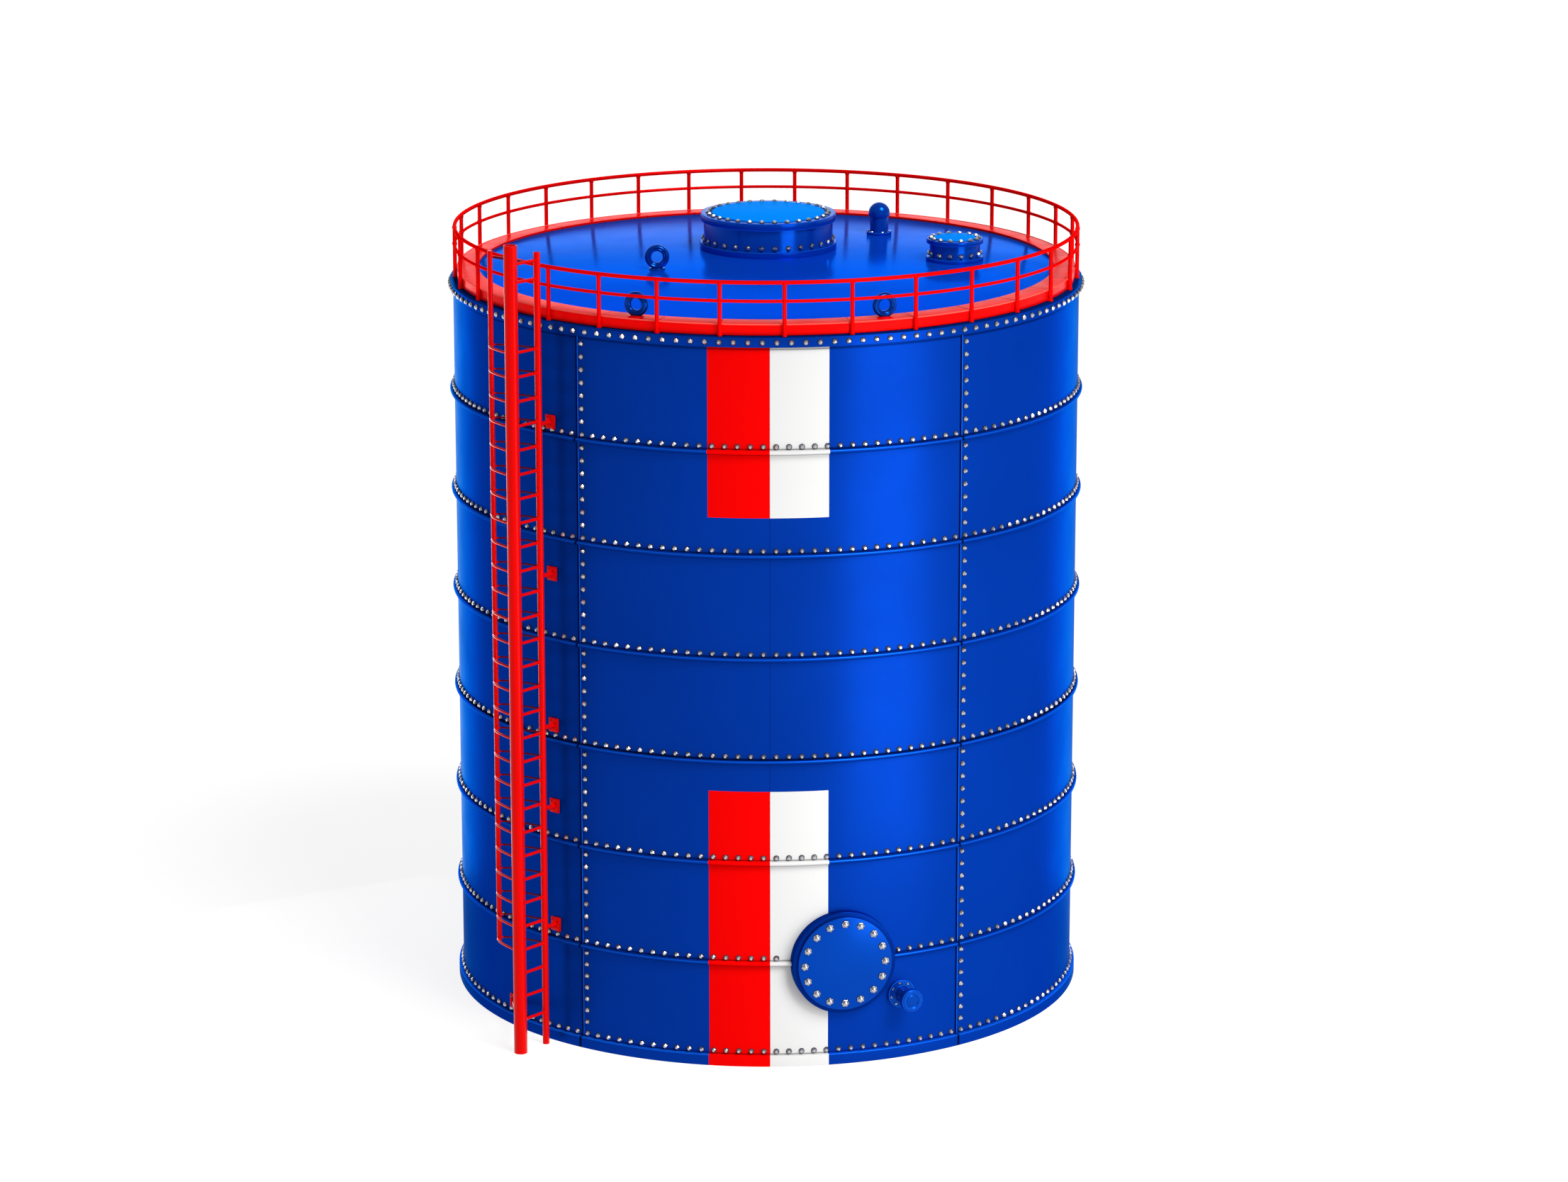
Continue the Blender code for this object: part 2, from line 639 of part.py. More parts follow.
def make_lifting_eyes(paint):
    spot = Vector((*ROOF_EYE_PLACE, 0.0))
    add_part("lifting_eye_1", lifting_eye(spot, 0.0, ROOF_TOP + GAP), paint)
    wide = WALK_EYE_RADIUS + OVERCUT
    narrow = WALK_EYE_RADIUS - OVERCUT
    deck = [
        (narrow, FLANGE_TOP), (wide, FLANGE_TOP),
        (wide, deck_height(wide) + GAP), (narrow, deck_height(narrow) + GAP),
    ]
    for number, azimuth in enumerate(WALK_EYE_DEGS, 2):
        foot = deck_height(WALK_EYE_RADIUS) - EYE_PAD_SINK
        mesh = lifting_eye(at(azimuth, WALK_EYE_RADIUS), azimuth, foot)
        mesh = combine(mesh, [hoop(deck)], "DIFFERENCE")
        add_part(f"lifting_eye_{number}", mesh, paint)


def make_manhole(paint):
    face = radial_frame(MANHOLE_DEG, MANHOLE_COLLAR_FACE, MANHOLE_HEIGHT)
    deep = MANHOLE_COLLAR_FACE - SHELL_RADIUS + OVERCUT
    hole = MANHOLE_HOLE_RADIUS
    rim = MANHOLE_COLLAR_RADIUS
    collar = turned([(hole, -deep), (rim, -deep), (rim, 0.0), (hole, 0.0)], WIDE_STEPS, face)
    collar = combine(collar, [tank_drum()], "DIFFERENCE")
    add_part("manhole_collar", collar, paint)
    radius = MANHOLE_COVER_RADIUS
    top = MANHOLE_COVER_THICKNESS
    lid = turned([(0.0, GAP), (radius, GAP), (radius, top), (0.0, top)], WIDE_STEPS, face)
    nuts = []
    for k in range(MANHOLE_NUTS):
        place = at(k * 360.0 / MANHOLE_NUTS, MANHOLE_NUT_CIRCLE)
        foot = face @ (place + Vector((0.0, 0.0, top / 2.0)))
        tip = face @ (place + Vector((0.0, 0.0, top + MANHOLE_NUT_HEIGHT)))
        nuts.append(rod(foot, tip, MANHOLE_NUT_RADIUS, MANHOLE_NUT_SIDES))
    add_part("manhole_cover", combine(lid, nuts, "UNION"), paint)


def make_nozzle(paint):
    frame = radial_frame(NOZZLE_DEG, 0.0, NOZZLE_HEIGHT)
    bore = NOZZLE_BORE_RADIUS
    inside = SHELL_RADIUS - OVERCUT
    profile = [
        (bore, inside), (NOZZLE_FLANGE_RADIUS, inside),
        (NOZZLE_FLANGE_RADIUS, NOZZLE_FLANGE_FACE), (NOZZLE_PIPE_RADIUS, NOZZLE_FLANGE_FACE),
        (NOZZLE_PIPE_RADIUS, NOZZLE_PIPE_END), (bore, NOZZLE_PIPE_END),
    ]
    pipe = combine(turned(profile, NOZZLE_STEPS, frame), [tank_drum()], "DIFFERENCE")
    add_part("nozzle_pipe", pipe, paint)
    low = NOZZLE_PIPE_END + GAP
    high = low + BLANK_THICKNESS
    recess = high - BLANK_RECESS_DEPTH
    blank = [
        (0.0, low), (BLANK_RADIUS, low), (BLANK_RADIUS, high), (BLANK_RECESS_RADIUS, high),
        (BLANK_RECESS_RADIUS, recess), (0.0, recess),
    ]
    add_part("nozzle_blank", turned(blank, NOZZLE_STEPS, frame), paint)


def main():
    clear_scene()
    blue = make_paint("blue_paint")
    roof_blue = make_paint("roof_blue")
    red = make_paint("red_paint")
    make_bottom_plate(blue)
    make_shell(blue)
    make_rings(blue)
    make_top_flange(blue)
    make_roof(roof_blue)
    make_walkway(red)
    make_railing(red)
    make_ladder(red)
    make_cage(red)
    make_manway(blue)
    make_hatch(blue)
    make_vent(blue)
    make_lifting_eyes(blue)
    make_manhole(blue)
    make_nozzle(blue)


main()
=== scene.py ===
"""Dresses a vertical storage tank's solids: smooth painted steel, bolts, rails and a caged ladder.

Metres, +Z up. An azimuth is an angle from the striped front, -Y, towards +X. The tank's axis is the Z axis.
"""

import math

import bmesh
import bpy
from bpy.props import FloatProperty, FloatVectorProperty, IntProperty, PointerProperty
from mathutils import Matrix, Vector


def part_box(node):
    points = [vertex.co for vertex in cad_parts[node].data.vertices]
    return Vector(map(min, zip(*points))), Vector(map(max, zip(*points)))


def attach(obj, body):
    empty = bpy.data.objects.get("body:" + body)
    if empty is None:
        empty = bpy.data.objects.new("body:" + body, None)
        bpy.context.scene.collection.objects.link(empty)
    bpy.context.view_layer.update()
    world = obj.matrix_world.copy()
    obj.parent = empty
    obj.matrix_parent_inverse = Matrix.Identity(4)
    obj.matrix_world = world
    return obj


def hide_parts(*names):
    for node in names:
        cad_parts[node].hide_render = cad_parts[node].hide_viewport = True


bl_info = {
    "name": "Bolted storage tank",
    "version": (1, 0, 0),
    "blender": (4, 5, 0),
    "location": "3D Viewport > Sidebar > Tank",
    "description": "Painted plates, bolts, rails and a caged ladder for a storage tank",
    "category": "Object",
}

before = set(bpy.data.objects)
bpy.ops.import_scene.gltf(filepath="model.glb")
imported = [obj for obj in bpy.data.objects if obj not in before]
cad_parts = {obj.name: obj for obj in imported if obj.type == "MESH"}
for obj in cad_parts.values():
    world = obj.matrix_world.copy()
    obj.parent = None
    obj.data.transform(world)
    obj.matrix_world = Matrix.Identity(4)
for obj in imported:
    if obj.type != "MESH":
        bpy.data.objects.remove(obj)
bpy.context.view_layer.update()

# Steps round the tank, its manhole, its fittings, its small domes, its bars and the beads on its edges
TANK_STEPS = 360
MANHOLE_STEPS = 128
FITTING_STEPS = 96
DOME_STEPS = 64
BAR_SIDES = 16
THIN_SIDES = 12
BEAD_SIDES = 8
EASE_STEPS = 3
SMOOTH_ANGLE = math.radians(40.0)
FACET_ANGLE = math.radians(22.0)
QUARTER = math.radians(90.0)

# How far a piece sinks into what carries it, so that no light shows between
SEAT = 0.002

# The shell's upright plates, of which the first and the last are half as wide, and the course rings
PLATES = 6
RINGS = range(1, 7)

# Inner radii of the manhole and the nozzle
MANHOLE_BORE = 0.500
NOZZLE_BORE = 0.080

# The roof's two bolted openings: how far the neck's flange reaches out and its height, the height of the
# cover's rim and the radius of its raised middle, and the radii of the bolts' rows on the cover and the neck
OPENINGS = {
    "manway": {
        "reach": 0.055, "flange": 0.085, "rim": 0.097, "disc": 0.780, "cover_row": 0.832, "neck_row": 0.895,
    },
    "hatch": {
        "reach": 0.050, "flange": 0.050, "rim": 0.060, "disc": 0.285, "cover_row": 0.325, "neck_row": 0.345,
    },
}

# The vent's flange: how far it reaches out, its height and its bolts' circle
VENT_REACH = 0.048
VENT_FLANGE = 0.035
VENT_ROW = 0.152

# The nozzle's pad on the shell: its radius, its face's distance from the tank's axis and its bolts' circle
NOZZLE_PAD = 0.190
NOZZLE_PAD_FACE = 4.310
NOZZLE_ROW = 0.153

# Soft boxes: place, aim, width, height, power, and whether each shows in the paint's gloss alone
LAMPS = {
    "right_box": ((7.9, -10.4, 5.5), (1.6, -3.95, 5.5), 5.7, 11.0, 800.0, False),
    "left_strip": ((-6.5, 3.4, 4.65), (-4.14, -1.03, 4.65), 3.4, 9.2, 255.0, True),
    "right_strip": ((6.75, 2.55, 4.65), (3.95, -1.6, 4.65), 2.5, 9.2, 185.0, True),
    "back_box": ((0.0, 26.0, 13.8), (0.0, 0.0, 10.0), 28.0, 7.0, 740.0, False),
    "deck_box": ((0.0, 26.0, 20.6), (0.0, 0.0, 10.0), 28.0, 4.0, 330.0, True),
}

# Heights of a rolled sheet's waves and of a sprayed coat's ripple
WAVES = 0.004
PEEL = 0.0002

# Sprayed paints: colour, roughness, metallic share, gloss level, tint of the reflections, and where they
# aren't the usual ones, how far the colour varies, the waves and the ripple
GLOSS_PAINTS = {
    "flange_gloss_paint": ("shell_blue", 0.26, 0.50, 0.0, "sheen_blue"),
    # Light blue for the painted highlights on the seams' raised edges and on the fittings' beads
    "seam_edge_paint": ("crest_blue", 0.30, 0.30, 0.0, "sheen_blue"),
    "roof_gloss_paint": ("roof_blue", 0.16, 0.60, 0.0, "roof_sheen", 0.05, 0.002),
    "fitting_gloss_paint": ("fitting_blue", 0.20, 0.55, 0.35, "sheen_blue"),
    "manhole_gloss_paint": ("manhole_blue", 0.20, 0.55, 0.35, "sheen_blue"),
    "lid_gloss_paint": ("lid_blue", 0.26, 0.20, 0.0, "sheen_blue"),
    "eye_gloss_paint": ("eye_blue", 0.15, 0.50, 0.50, "sheen_blue"),
    # The collar's paint is darkened as painted shade
    "collar_gloss_paint": ("collar_blue", 0.20, 0.55, 0.0, "sheen_blue"),
    "red_gloss_paint": ("red", 0.24, 0.30, 0.0, "sheen_red", 0.04),
    "ladder_gloss_paint": ("ladder_red", 0.16, 0.15, 0.36, "sheen_red", 0.04),
    "deck_gloss_paint": ("deck_red", 0.30, 0.30, 0.06, "deck_sheen", 0.06),
    # Light red for the painted highlight along the deck's edge
    "rubbed_edge_paint": ("edge_red", 0.40, 0.0, 0.0, None, 0.15),
    # Dark blue for the painted shade lines along the seams
    "dark_sealant": ("sealant_blue", 0.40, 0.0, 0.0),
    # Dark rubber for the washers, which also stands in as painted shade round the bolts
    "washer_rubber": ("washer_grey", 0.45, 0.0, 0.20, None, 0.10, 0.0, 0.0004),
}


def low_of(node):
    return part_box(node)[0]


def high_of(node):
    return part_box(node)[1]


def middle_of(node):
    low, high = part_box(node)
    return (low + high) / 2.0


def radius_of(node):
    """Half the width of a round upright node."""
    low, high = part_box(node)
    return (high.x - low.x) / 2.0


def foot_of(node):
    """The middle of a node's underside, as a move."""
    middle = middle_of(node)
    return Matrix.Translation((middle.x, middle.y, low_of(node).z))


def colour(name, default, description):
    return FloatVectorProperty(
        name=name, description=description, default=default, subtype="COLOR", size=3, min=0.0, max=1.0
    )


def point(name, default, description):
    return FloatVectorProperty(
        name=name, description=description, default=default, subtype="TRANSLATION", size=3
    )


def length(name, default, description):
    return FloatProperty(name=name, description=description, default=default, unit="LENGTH")


def angle(name, degrees, description):
    return FloatProperty(name=name, description=description, default=math.radians(degrees), subtype="ANGLE")


def amount(name, default, description, low=0.0, high=1000.0):
    return FloatProperty(name=name, description=description, default=default, min=low, max=high)


def count(name, default, description):
    return IntProperty(name=name, description=description, default=default, min=1)


class TankPaint(bpy.types.PropertyGroup):
    """Colours of the paints and the steel, of the painted highlights and shade, and the painted stripes'
    places
    """
    shell_blue: colour("Shell blue", (0.001, 0.030, 0.285), "Paint on the shell and its rings")
    # Light blue of the painted highlights on the rings and on the raised edges and beads
    crest_blue: colour("Crest blue", (0.004, 0.105, 0.700), "Blue paint on edges that the light catches")
    roof_blue: colour("Roof blue", (0.002, 0.090, 0.740), "Paint on the roof")
    fitting_blue: colour("Fitting blue", (0.001, 0.056, 0.470), "Paint on the roof's necks, covers and vent")
    lid_blue: colour("Lid blue", (0.002, 0.260, 1.000), "Paint on the covers' raised middles")
    manhole_blue: colour("Manhole blue", (0.001, 0.040, 0.340), "Paint on the manhole's cover")
    # Darker than the cover's blue: painted shade on the collar
    collar_blue: colour("Collar blue", (0.0005, 0.018, 0.180), "Paint on the manhole's collar")
    eye_blue: colour("Eye blue", (0.001, 0.038, 0.320), "Paint on the lifting eyes and the nozzle")
    stripe_red: colour("Stripe red", (0.700, 0.001, 0.001), "Paint on the red stripe")
    red: colour("Red", (0.840, 0.002, 0.002), "Paint on the rails")
    deck_red: colour("Deck red", (0.950, 0.002, 0.002), "Paint on the walkway")
    ladder_red: colour("Ladder red", (0.680, 0.002, 0.002), "Paint on the ladder and its cage")
    # Painted shade on the hoops' rear halves, near the shell
    rear_shade_red: colour("Rear shade red", (0.110, 0.002, 0.008), "Shaded paint on the cage's halves near the shell")
    # Painted highlight along the deck's outer edge
    edge_red: colour("Edge red", (1.000, 0.100, 0.075), "Paint rubbed thin along the deck's outer edge")
    white: colour("White", (0.600, 0.600, 0.596), "Paint on the white stripe")
    sheen_blue: colour("Sheen blue", (0.040, 0.500, 1.000), "Tint of the blue paints' reflections")
    sheen_red: colour("Sheen red", (1.000, 0.060, 0.040), "Tint of the red paints' reflections")
    roof_sheen: colour("Roof sheen", (0.120, 0.400, 0.950), "Tint of the roof's reflections")
    deck_sheen: colour("Deck sheen", (1.000, 0.280, 0.250), "Tint of the deck's reflections")
    steel: colour("Steel", (0.480, 0.485, 0.505), "Bare bright steel of the bolts")
    # Dark blue of the painted shade line beside each bolted seam
    sealant_blue: colour("Sealant blue", (0.001, 0.003, 0.050), "Sealant along the bolted seams")
    # Rubber washers, dark enough to stand in as painted shade round each bolt head
    washer_grey: colour("Washer grey", (0.012, 0.014, 0.025), "Rubber of the sealing washers")
    red_from: angle("Red from", -10.3, "Azimuth of the red stripe's left edge")
    white_to: angle("White to", 11.0, "Azimuth of the white stripe's right edge")
    upper_foot: length("Upper foot", 7.500, "Height where the upper stripes end")
    lower_top: length("Lower top", 3.800, "Height where the lower stripes begin")


class TankShell(bpy.types.PropertyGroup):
    """Shell plates, their seams and the rings round them, and the painted shade and highlights along them"""
    first_seam: angle("First seam", 0.6, "Azimuth of the seam at the front, which has no bolts")
    seam_pitch: angle("Seam pitch", 72.0, "Angle between the bolted seams")
    wall: length("Wall", 0.010, "Thickness of the shell plates")
    groove: length("Groove", 0.007, "Width of the open joint between two plates at the front")
    # The seam's dark bead of painted shade, the raised edge beside it, and the angle between them
    sealant: length("Sealant", 0.009, "Radius of the dark sealant bead along a bolted seam")
    lap_edge: length("Lap edge", 0.007, "Radius of the raised plate edge beside it")
    lap_step: angle("Lap step", 0.21, "Angle from the sealant to that edge")
    edge: length("Edge", 0.006, "Radius of a flange's eased edges")
    flange_inner: length("Flange inner", 4.140, "Inner radius of the top flange's flat leg")
    ring_gap: length("Ring gap", 0.014, "Open joint between two lengths of a ring")
    # Painted shade in the rings' and flanges' corners and beside the seams: how far it reaches and how dark
    # it is
    grime: length("Grime", 0.026, "How far grime reaches from a ring's corner")
    grime_depth: amount("Grime depth", 0.80, "How much the grime darkens the paint", high=1.0)
    # The painted highlight along each ring: its half width and its height over the ring's middle
    crest: length("Crest", 0.010, "Half the width of the bright line along a ring")
    highlight_rise: length("Crest rise", 0.011, "Height of that line over the ring's middle")


class TankBolts(bpy.types.PropertyGroup):
    """Bolt heads on the rings, the seams and the covers"""
    head: length("Head", 0.035, "Half the width of a bolt head over its corners")
    washer: length("Washer", 0.040, "Radius of the sealing washer under a head")
    washer_rise: length("Washer rise", 0.006, "Thickness of that washer")
    rise: length("Rise", 0.034, "How far a head stands out of its seat")
    ring_count: count("Ring count", 160, "Bolts round each course ring")
    ring_offset: length("Ring offset", 0.068, "Height of the bolts' centres over the ring's middle")
    flange_count: count("Flange count", 144, "Bolts round the top flange")
    seam_count: count("Seam count", 7, "Bolts up one course of a seam")
    seam_shift: angle("Seam shift", 1.05, "Angle from a seam to its row of bolts")
    manway_count: count("Manway count", 30, "Bolts round the manway's cover")
    hatch_count: count("Hatch count", 14, "Bolts round the hatch's cover")
    vent_count: count("Vent count", 6, "Bolts round the vent's foot")
    nozzle_count: count("Nozzle count", 8, "Bolts round the nozzle's pad")
    manhole_count: count("Manhole count", 16, "Cap nuts round the manhole's cover")


class TankRails(bpy.types.PropertyGroup):
    """Walkway plates and the railing round them"""
    radius: length("Radius", 4.235, "Radius of the posts and rails")
    top_height: length("Top height", 10.604, "Height of the top rail")
    middle_height: length("Middle height", 10.360, "Height of the middle rail")
    top_tube: length("Top tube", 0.026, "Radius of the top rail's tube")
    middle_tube: length("Middle tube", 0.021, "Radius of the middle rail's tube")
    post_tube: length("Post tube", 0.027, "Radius of a post's tube")
    first_post: angle("First post", 3.2, "Azimuth of the post nearest the front")
    front_bays: count("Front bays", 5, "Bays right of the first post")
    front_bay: angle("Front bay", 12.0, "Angle of each of them")
    right_bays: count("Right bays", 8, "Bays at the right side")
    right_bay: angle("Right bay", 11.3, "Angle of each of them")
    rear_bays: count("Rear bays", 6, "Bays at the back")
    rear_bay: angle("Rear bay", 10.4, "Angle of each of them")
    left_bays: count("Left bays", 13, "Bays in the rest of the round")
    inner_radius: length("Inner radius", 3.920, "Radius of the walkway's inner edge")
    inner_top: length("Inner top", 10.062, "Height of the deck at its inner edge")
    outer_top: length("Outer top", 10.052, "Height of the deck at its outer edge")
    fascia_foot: length("Fascia foot", 9.905, "Height of the fascia's lower edge")
    sheet: length("Sheet", 0.010, "Thickness of the deck")
    notch: length("Notch", 0.024, "Width of the fascia's notch behind each post")


class TankLadder(bpy.types.PropertyGroup):
    """The side ladder and its cage"""
    azimuth: angle("Azimuth", -41.4, "Azimuth of the ladder")
    pole_radius: length("Pole radius", 4.990, "Distance of the outer pole from the tank's axis")
    pole_tube: length("Pole tube", 0.089, "Radius of the outer pole")
    stile_radius: length("Stile radius", 4.500, "Distance of the stile from the tank's axis")
    stile_tube: length("Stile tube", 0.045, "Radius of the stile")
    stile_top: length("Stile top", 10.840, "Height of the stile's top")
    tie_rise: length("Tie rise", 0.135, "Height of the ladder's ties over the rails")
    rung_tube: length("Rung tube", 0.021, "Radius of a rung")
    rungs: count("Rungs", 29, "Number of rungs")
    first_rung: length("First rung", 0.450, "Height of the lowest rung")
    rung_pitch: length("Rung pitch", 0.3257, "Distance between two rungs")
    cage_depth: length("Cage depth", 0.610, "How far the hoops reach sideways")
    hoop_tube: length("Hoop tube", 0.0175, "Radius of a hoop's bar")
    rear_share: amount("Rear share", 0.70, "Thickness of a hoop's rear part against its front", 0.3, 1.0)
    first_hoop: count("First hoop", 3, "Rungs below the lowest hoop")
    hoop_peak: amount("Hoop peak", 1.6, "How pointed the hoops are at the upright", low=1.0)
    bar_tube: length("Bar tube", 0.034, "Radius of the cage's upright")
    bar_top: length("Bar top", 10.820, "Height of the upright's top")
    bar_tie: length("Bar tie", 10.745, "Height at which its tie to the top rail starts")
    foot_azimuth: angle("Foot azimuth", -53.5, "Azimuth of the foot strut's plate")
    foot_height: length("Foot height", 0.320, "Height of the foot strut")


class TankFittings(bpy.types.PropertyGroup):
    """Manhole, nozzle, covers, vent and lifting eyes"""
    manhole_azimuth: angle("Manhole azimuth", 13.65, "Azimuth of the shell manhole")
    manhole_height: length("Manhole height", 1.430, "Height of the manhole's middle")
    manhole_face: length("Manhole face", 4.365, "Distance of the collar's face from the tank's axis")
    manhole_collar: length("Manhole collar", 0.700, "Radius of the collar")
    manhole_cover: length("Manhole cover", 0.640, "Radius of the cover")
    manhole_lid: length("Manhole lid", 0.050, "Thickness of the cover")
    manhole_circle: length("Manhole circle", 0.550, "Radius of the nuts' circle")
    nozzle_azimuth: angle("Nozzle azimuth", 24.7, "Azimuth of the blanked nozzle")
    nozzle_height: length("Nozzle height", 0.885, "Height of the nozzle's middle")
    neck_wall: length("Neck wall", 0.012, "Wall of the necks and of the vent pipe")
    eye_ring: length("Eye ring", 0.122, "Radius of a lifting eye, to the middle of its bar")
    eye_bar: length("Eye bar", 0.044, "Radius of a lifting eye's bar")
    eye_circle: length("Eye circle", 4.055, "Radius at which the walkway's eyes stand")


class TankStage(bpy.types.PropertyGroup):
    """Camera, floor and lights"""
    eye: point("Eye", (0.0, -69.43, 23.33), "Where the camera is")
    aim: point("Aim", (0.244, 0.0, 5.429), "What it looks at")
    lens: amount("Lens", 118.76, "Focal length in millimetres", low=1.0)
    floor_radius: length("Floor radius", 420.0, "Radius of the pale floor")
    floor_grey: amount("Floor grey", 0.24, "Lightness of the floor", high=1.0)
    floor_glow: amount("Floor glow", 0.82, "Light that the floor gives of its own")
    sky: amount("Sky", 0.35, "Brightness of the studio's even light")
    key: amount("Key", 2.5, "Strength of the main light")
    key_azimuth: angle("Key azimuth", 40.0, "Azimuth that the main light comes from")
    key_height: angle("Key height", 50.0, "How far above level the main light is")
    key_softness: angle("Key softness", 24.0, "Angle that the main light fills")


SETTINGS = {
    "tank_paint": TankPaint,
    "tank_shell": TankShell,
    "tank_bolts": TankBolts,
    "tank_rails": TankRails,
    "tank_ladder": TankLadder,
    "tank_fittings": TankFittings,
    "tank_stage": TankStage,
}


def settings(name):
    return getattr(bpy.context.scene, name)


def shell_radius():
    """Outer radius of the shell, from the plate that crosses the X axis."""
    return round(high_of("shell_plate_2").x, 3)


def at(azimuth, radius, height=0.0):
    """The point at an azimuth, a distance from the tank's axis and a height."""
    return Vector((radius * math.sin(azimuth), -radius * math.cos(azimuth), height))


def facing_out(azimuth, radius, height):
    """Turns a shape made about +Z so that its +Z points straight out of the shell there."""
    turn = Matrix.Rotation(azimuth, 4, "Z") @ Matrix.Rotation(QUARTER, 4, "X")
    return Matrix.Translation(at(azimuth, radius, height)) @ turn


# Nodes of materials and of the repeating tree


def is_link(value):
    return isinstance(value, bpy.types.NodeSocket)


def fill(tree, node, inputs):
    """Joins each named input of a node to a link, or sets it to a plain value."""
    for key, value in inputs.items():
        if is_link(value):
            tree.links.new(value, node.inputs[key])
        else:
            node.inputs[key].default_value = value


def add_node(tree, kind, inputs, **properties):
    """Adds a node with its properties and inputs, and gives its outputs."""
    node = tree.nodes.new(kind)
    for name, value in properties.items():
        setattr(node, name, value)
    fill(tree, node, inputs)
    return node.outputs


def maths(tree, operation, *values):
    return add_node(tree, "ShaderNodeMath", dict(enumerate(values)), operation=operation)[0]


def vector(tree, x, y, z):
    return add_node(tree, "ShaderNodeCombineXYZ", {"X": x, "Y": y, "Z": z})[0]


def rotation(tree, angles):
    return add_node(tree, "FunctionNodeEulerToRotation", {"Euler": angles})["Rotation"]


def noise(tree, place, scale, detail):
    return add_node(tree, "ShaderNodeTexNoise", {"Vector": place, "Scale": scale, "Detail": detail})["Fac"]


def mapped(tree, value, low, high, from_low=0.25, from_high=0.75):
    """Spreads a range over a new one. The range as it stands is the one that a noise mostly keeps to."""
    return add_node(tree, "ShaderNodeMapRange", {
        "Value": value, "From Min": from_low, "From Max": from_high, "To Min": low, "To Max": high,
    })["Result"]


def mixed(tree, factor, first, second):
    """Mixes two colours, each a link or three numbers. Inputs 6 and 7 and output 2 are the node's colours."""
    colours = [part if is_link(part) else (*part, 1.0) for part in (first, second)]
    inputs = {"Factor": factor, 6: colours[0], 7: colours[1]}
    return add_node(tree, "ShaderNodeMix", inputs, data_type="RGBA")[2]


def between(tree, value, low, high):
    """1 where a value lies between two numbers."""
    above = maths(tree, "GREATER_THAN", value, low)
    return maths(tree, "MULTIPLY", above, maths(tree, "LESS_THAN", value, high))


# Paints and steel


def tinted(tree, place, base, spread):
    """A paint's colour with soft patches a little lighter and darker than it."""
    patches = mapped(tree, noise(tree, place, scale=0.55, detail=3.0), 0.0, 1.0)
    light = [min(1.0, part * (1.0 + spread)) for part in base]
    dark = [part * (1.0 - spread) for part in base]
    return mixed(tree, patches, dark, light)


def new_material(name):
    """A material with its node tree, its shader and the Object coordinates."""
    material = bpy.data.materials.new(name)
    material.use_nodes = True
    tree = material.node_tree
    return material, tree, tree.nodes["Principled BSDF"], object_place(tree)


def object_place(tree):
    return add_node(tree, "ShaderNodeTexCoord", {})["Object"]


def sheet_bump(tree, place, waves, peel):
    """The slow waves of rolled sheet and the fine ripple of a sprayed coat."""
    slow = maths(tree, "MULTIPLY", noise(tree, place, scale=0.9, detail=1.0), waves)
    fine = maths(tree, "MULTIPLY", noise(tree, place, scale=55.0, detail=2.0), peel)
    height = maths(tree, "ADD", slow, fine)
    return add_node(tree, "ShaderNodeBump", {"Strength": 1.0, "Distance": 1.0, "Height": height})["Normal"]


def gloss_paint(
    name, base, roughness, metallic, gloss_level, sheen=None, spread=0.05, waves=WAVES, peel=PEEL
):
    """Sprayed gloss paint on sheet steel. Its colours are named as in the settings."""
    paint = settings("tank_paint")
    material, tree, shader, place = new_material(name)
    unevenness = noise(tree, place, scale=2.3, detail=3.0)
    fill(tree, shader, {
        "Base Color": tinted(tree, place, getattr(paint, base), spread),
        "Metallic": metallic,
        "Roughness": mapped(tree, unevenness, roughness * 0.85, roughness * 1.2),
        "Specular IOR Level": gloss_level,
        "Normal": sheet_bump(tree, place, waves, peel),
    })
    if sheen:
        fill(tree, shader, {"Specular Tint": (*getattr(paint, sheen), 1.0)})
    return material


def ring_gap(tree, up):
    """How far a height is outside the nearest course ring, below 0 on it. The rings stand one pitch apart."""
    low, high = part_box("course_ring_1")
    first = middle_of("course_ring_1").z
    pitch = middle_of("course_ring_2").z - first
    from_middle = maths(tree, "PINGPONG", maths(tree, "SUBTRACT", up, first), pitch / 2.0)
    return maths(tree, "SUBTRACT", from_middle, (high.z - low.z) / 2.0)


def between_flanges(tree, up):
    """1 on the shell's height between the base flange and the top flange."""
    return between(tree, up, high_of("base_flange").z, low_of("top_flange").z)


def ring_corner_shade(tree, up):
    """Painted shade: darker paint in the corners along the rings and the flanges, where shade falls."""
    shell = settings("tank_shell")
    gaps = [
        ring_gap(tree, up),
        maths(tree, "SUBTRACT", up, high_of("base_flange").z),
        maths(tree, "SUBTRACT", low_of("top_flange").z, up),
    ]
    dark = 0.0
    for gap in gaps:
        fade = mapped(tree, gap, 1.0, 0.0, 0.0, shell.grime)
        near = maths(tree, "MULTIPLY", fade, maths(tree, "GREATER_THAN", gap, 0.0))
        dark = maths(tree, "MAXIMUM", dark, near)
    depth = maths(tree, "MULTIPLY", between_flanges(tree, up), shell.grime_depth)
    return maths(tree, "MULTIPLY", dark, depth)


def seam_side_shade(tree, azimuth):
    """Painted shade: darker paint on both sides of each bolted seam."""
    shell = settings("tank_shell")
    from_first = maths(tree, "SUBTRACT", azimuth, seam_azimuths()[0])
    from_seam = maths(tree, "PINGPONG", from_first, shell.seam_pitch / 2.0)
    width = shell.grime / shell_radius()
    return maths(tree, "MULTIPLY", mapped(tree, from_seam, 1.0, 0.0, width * 0.4, width), shell.grime_depth)


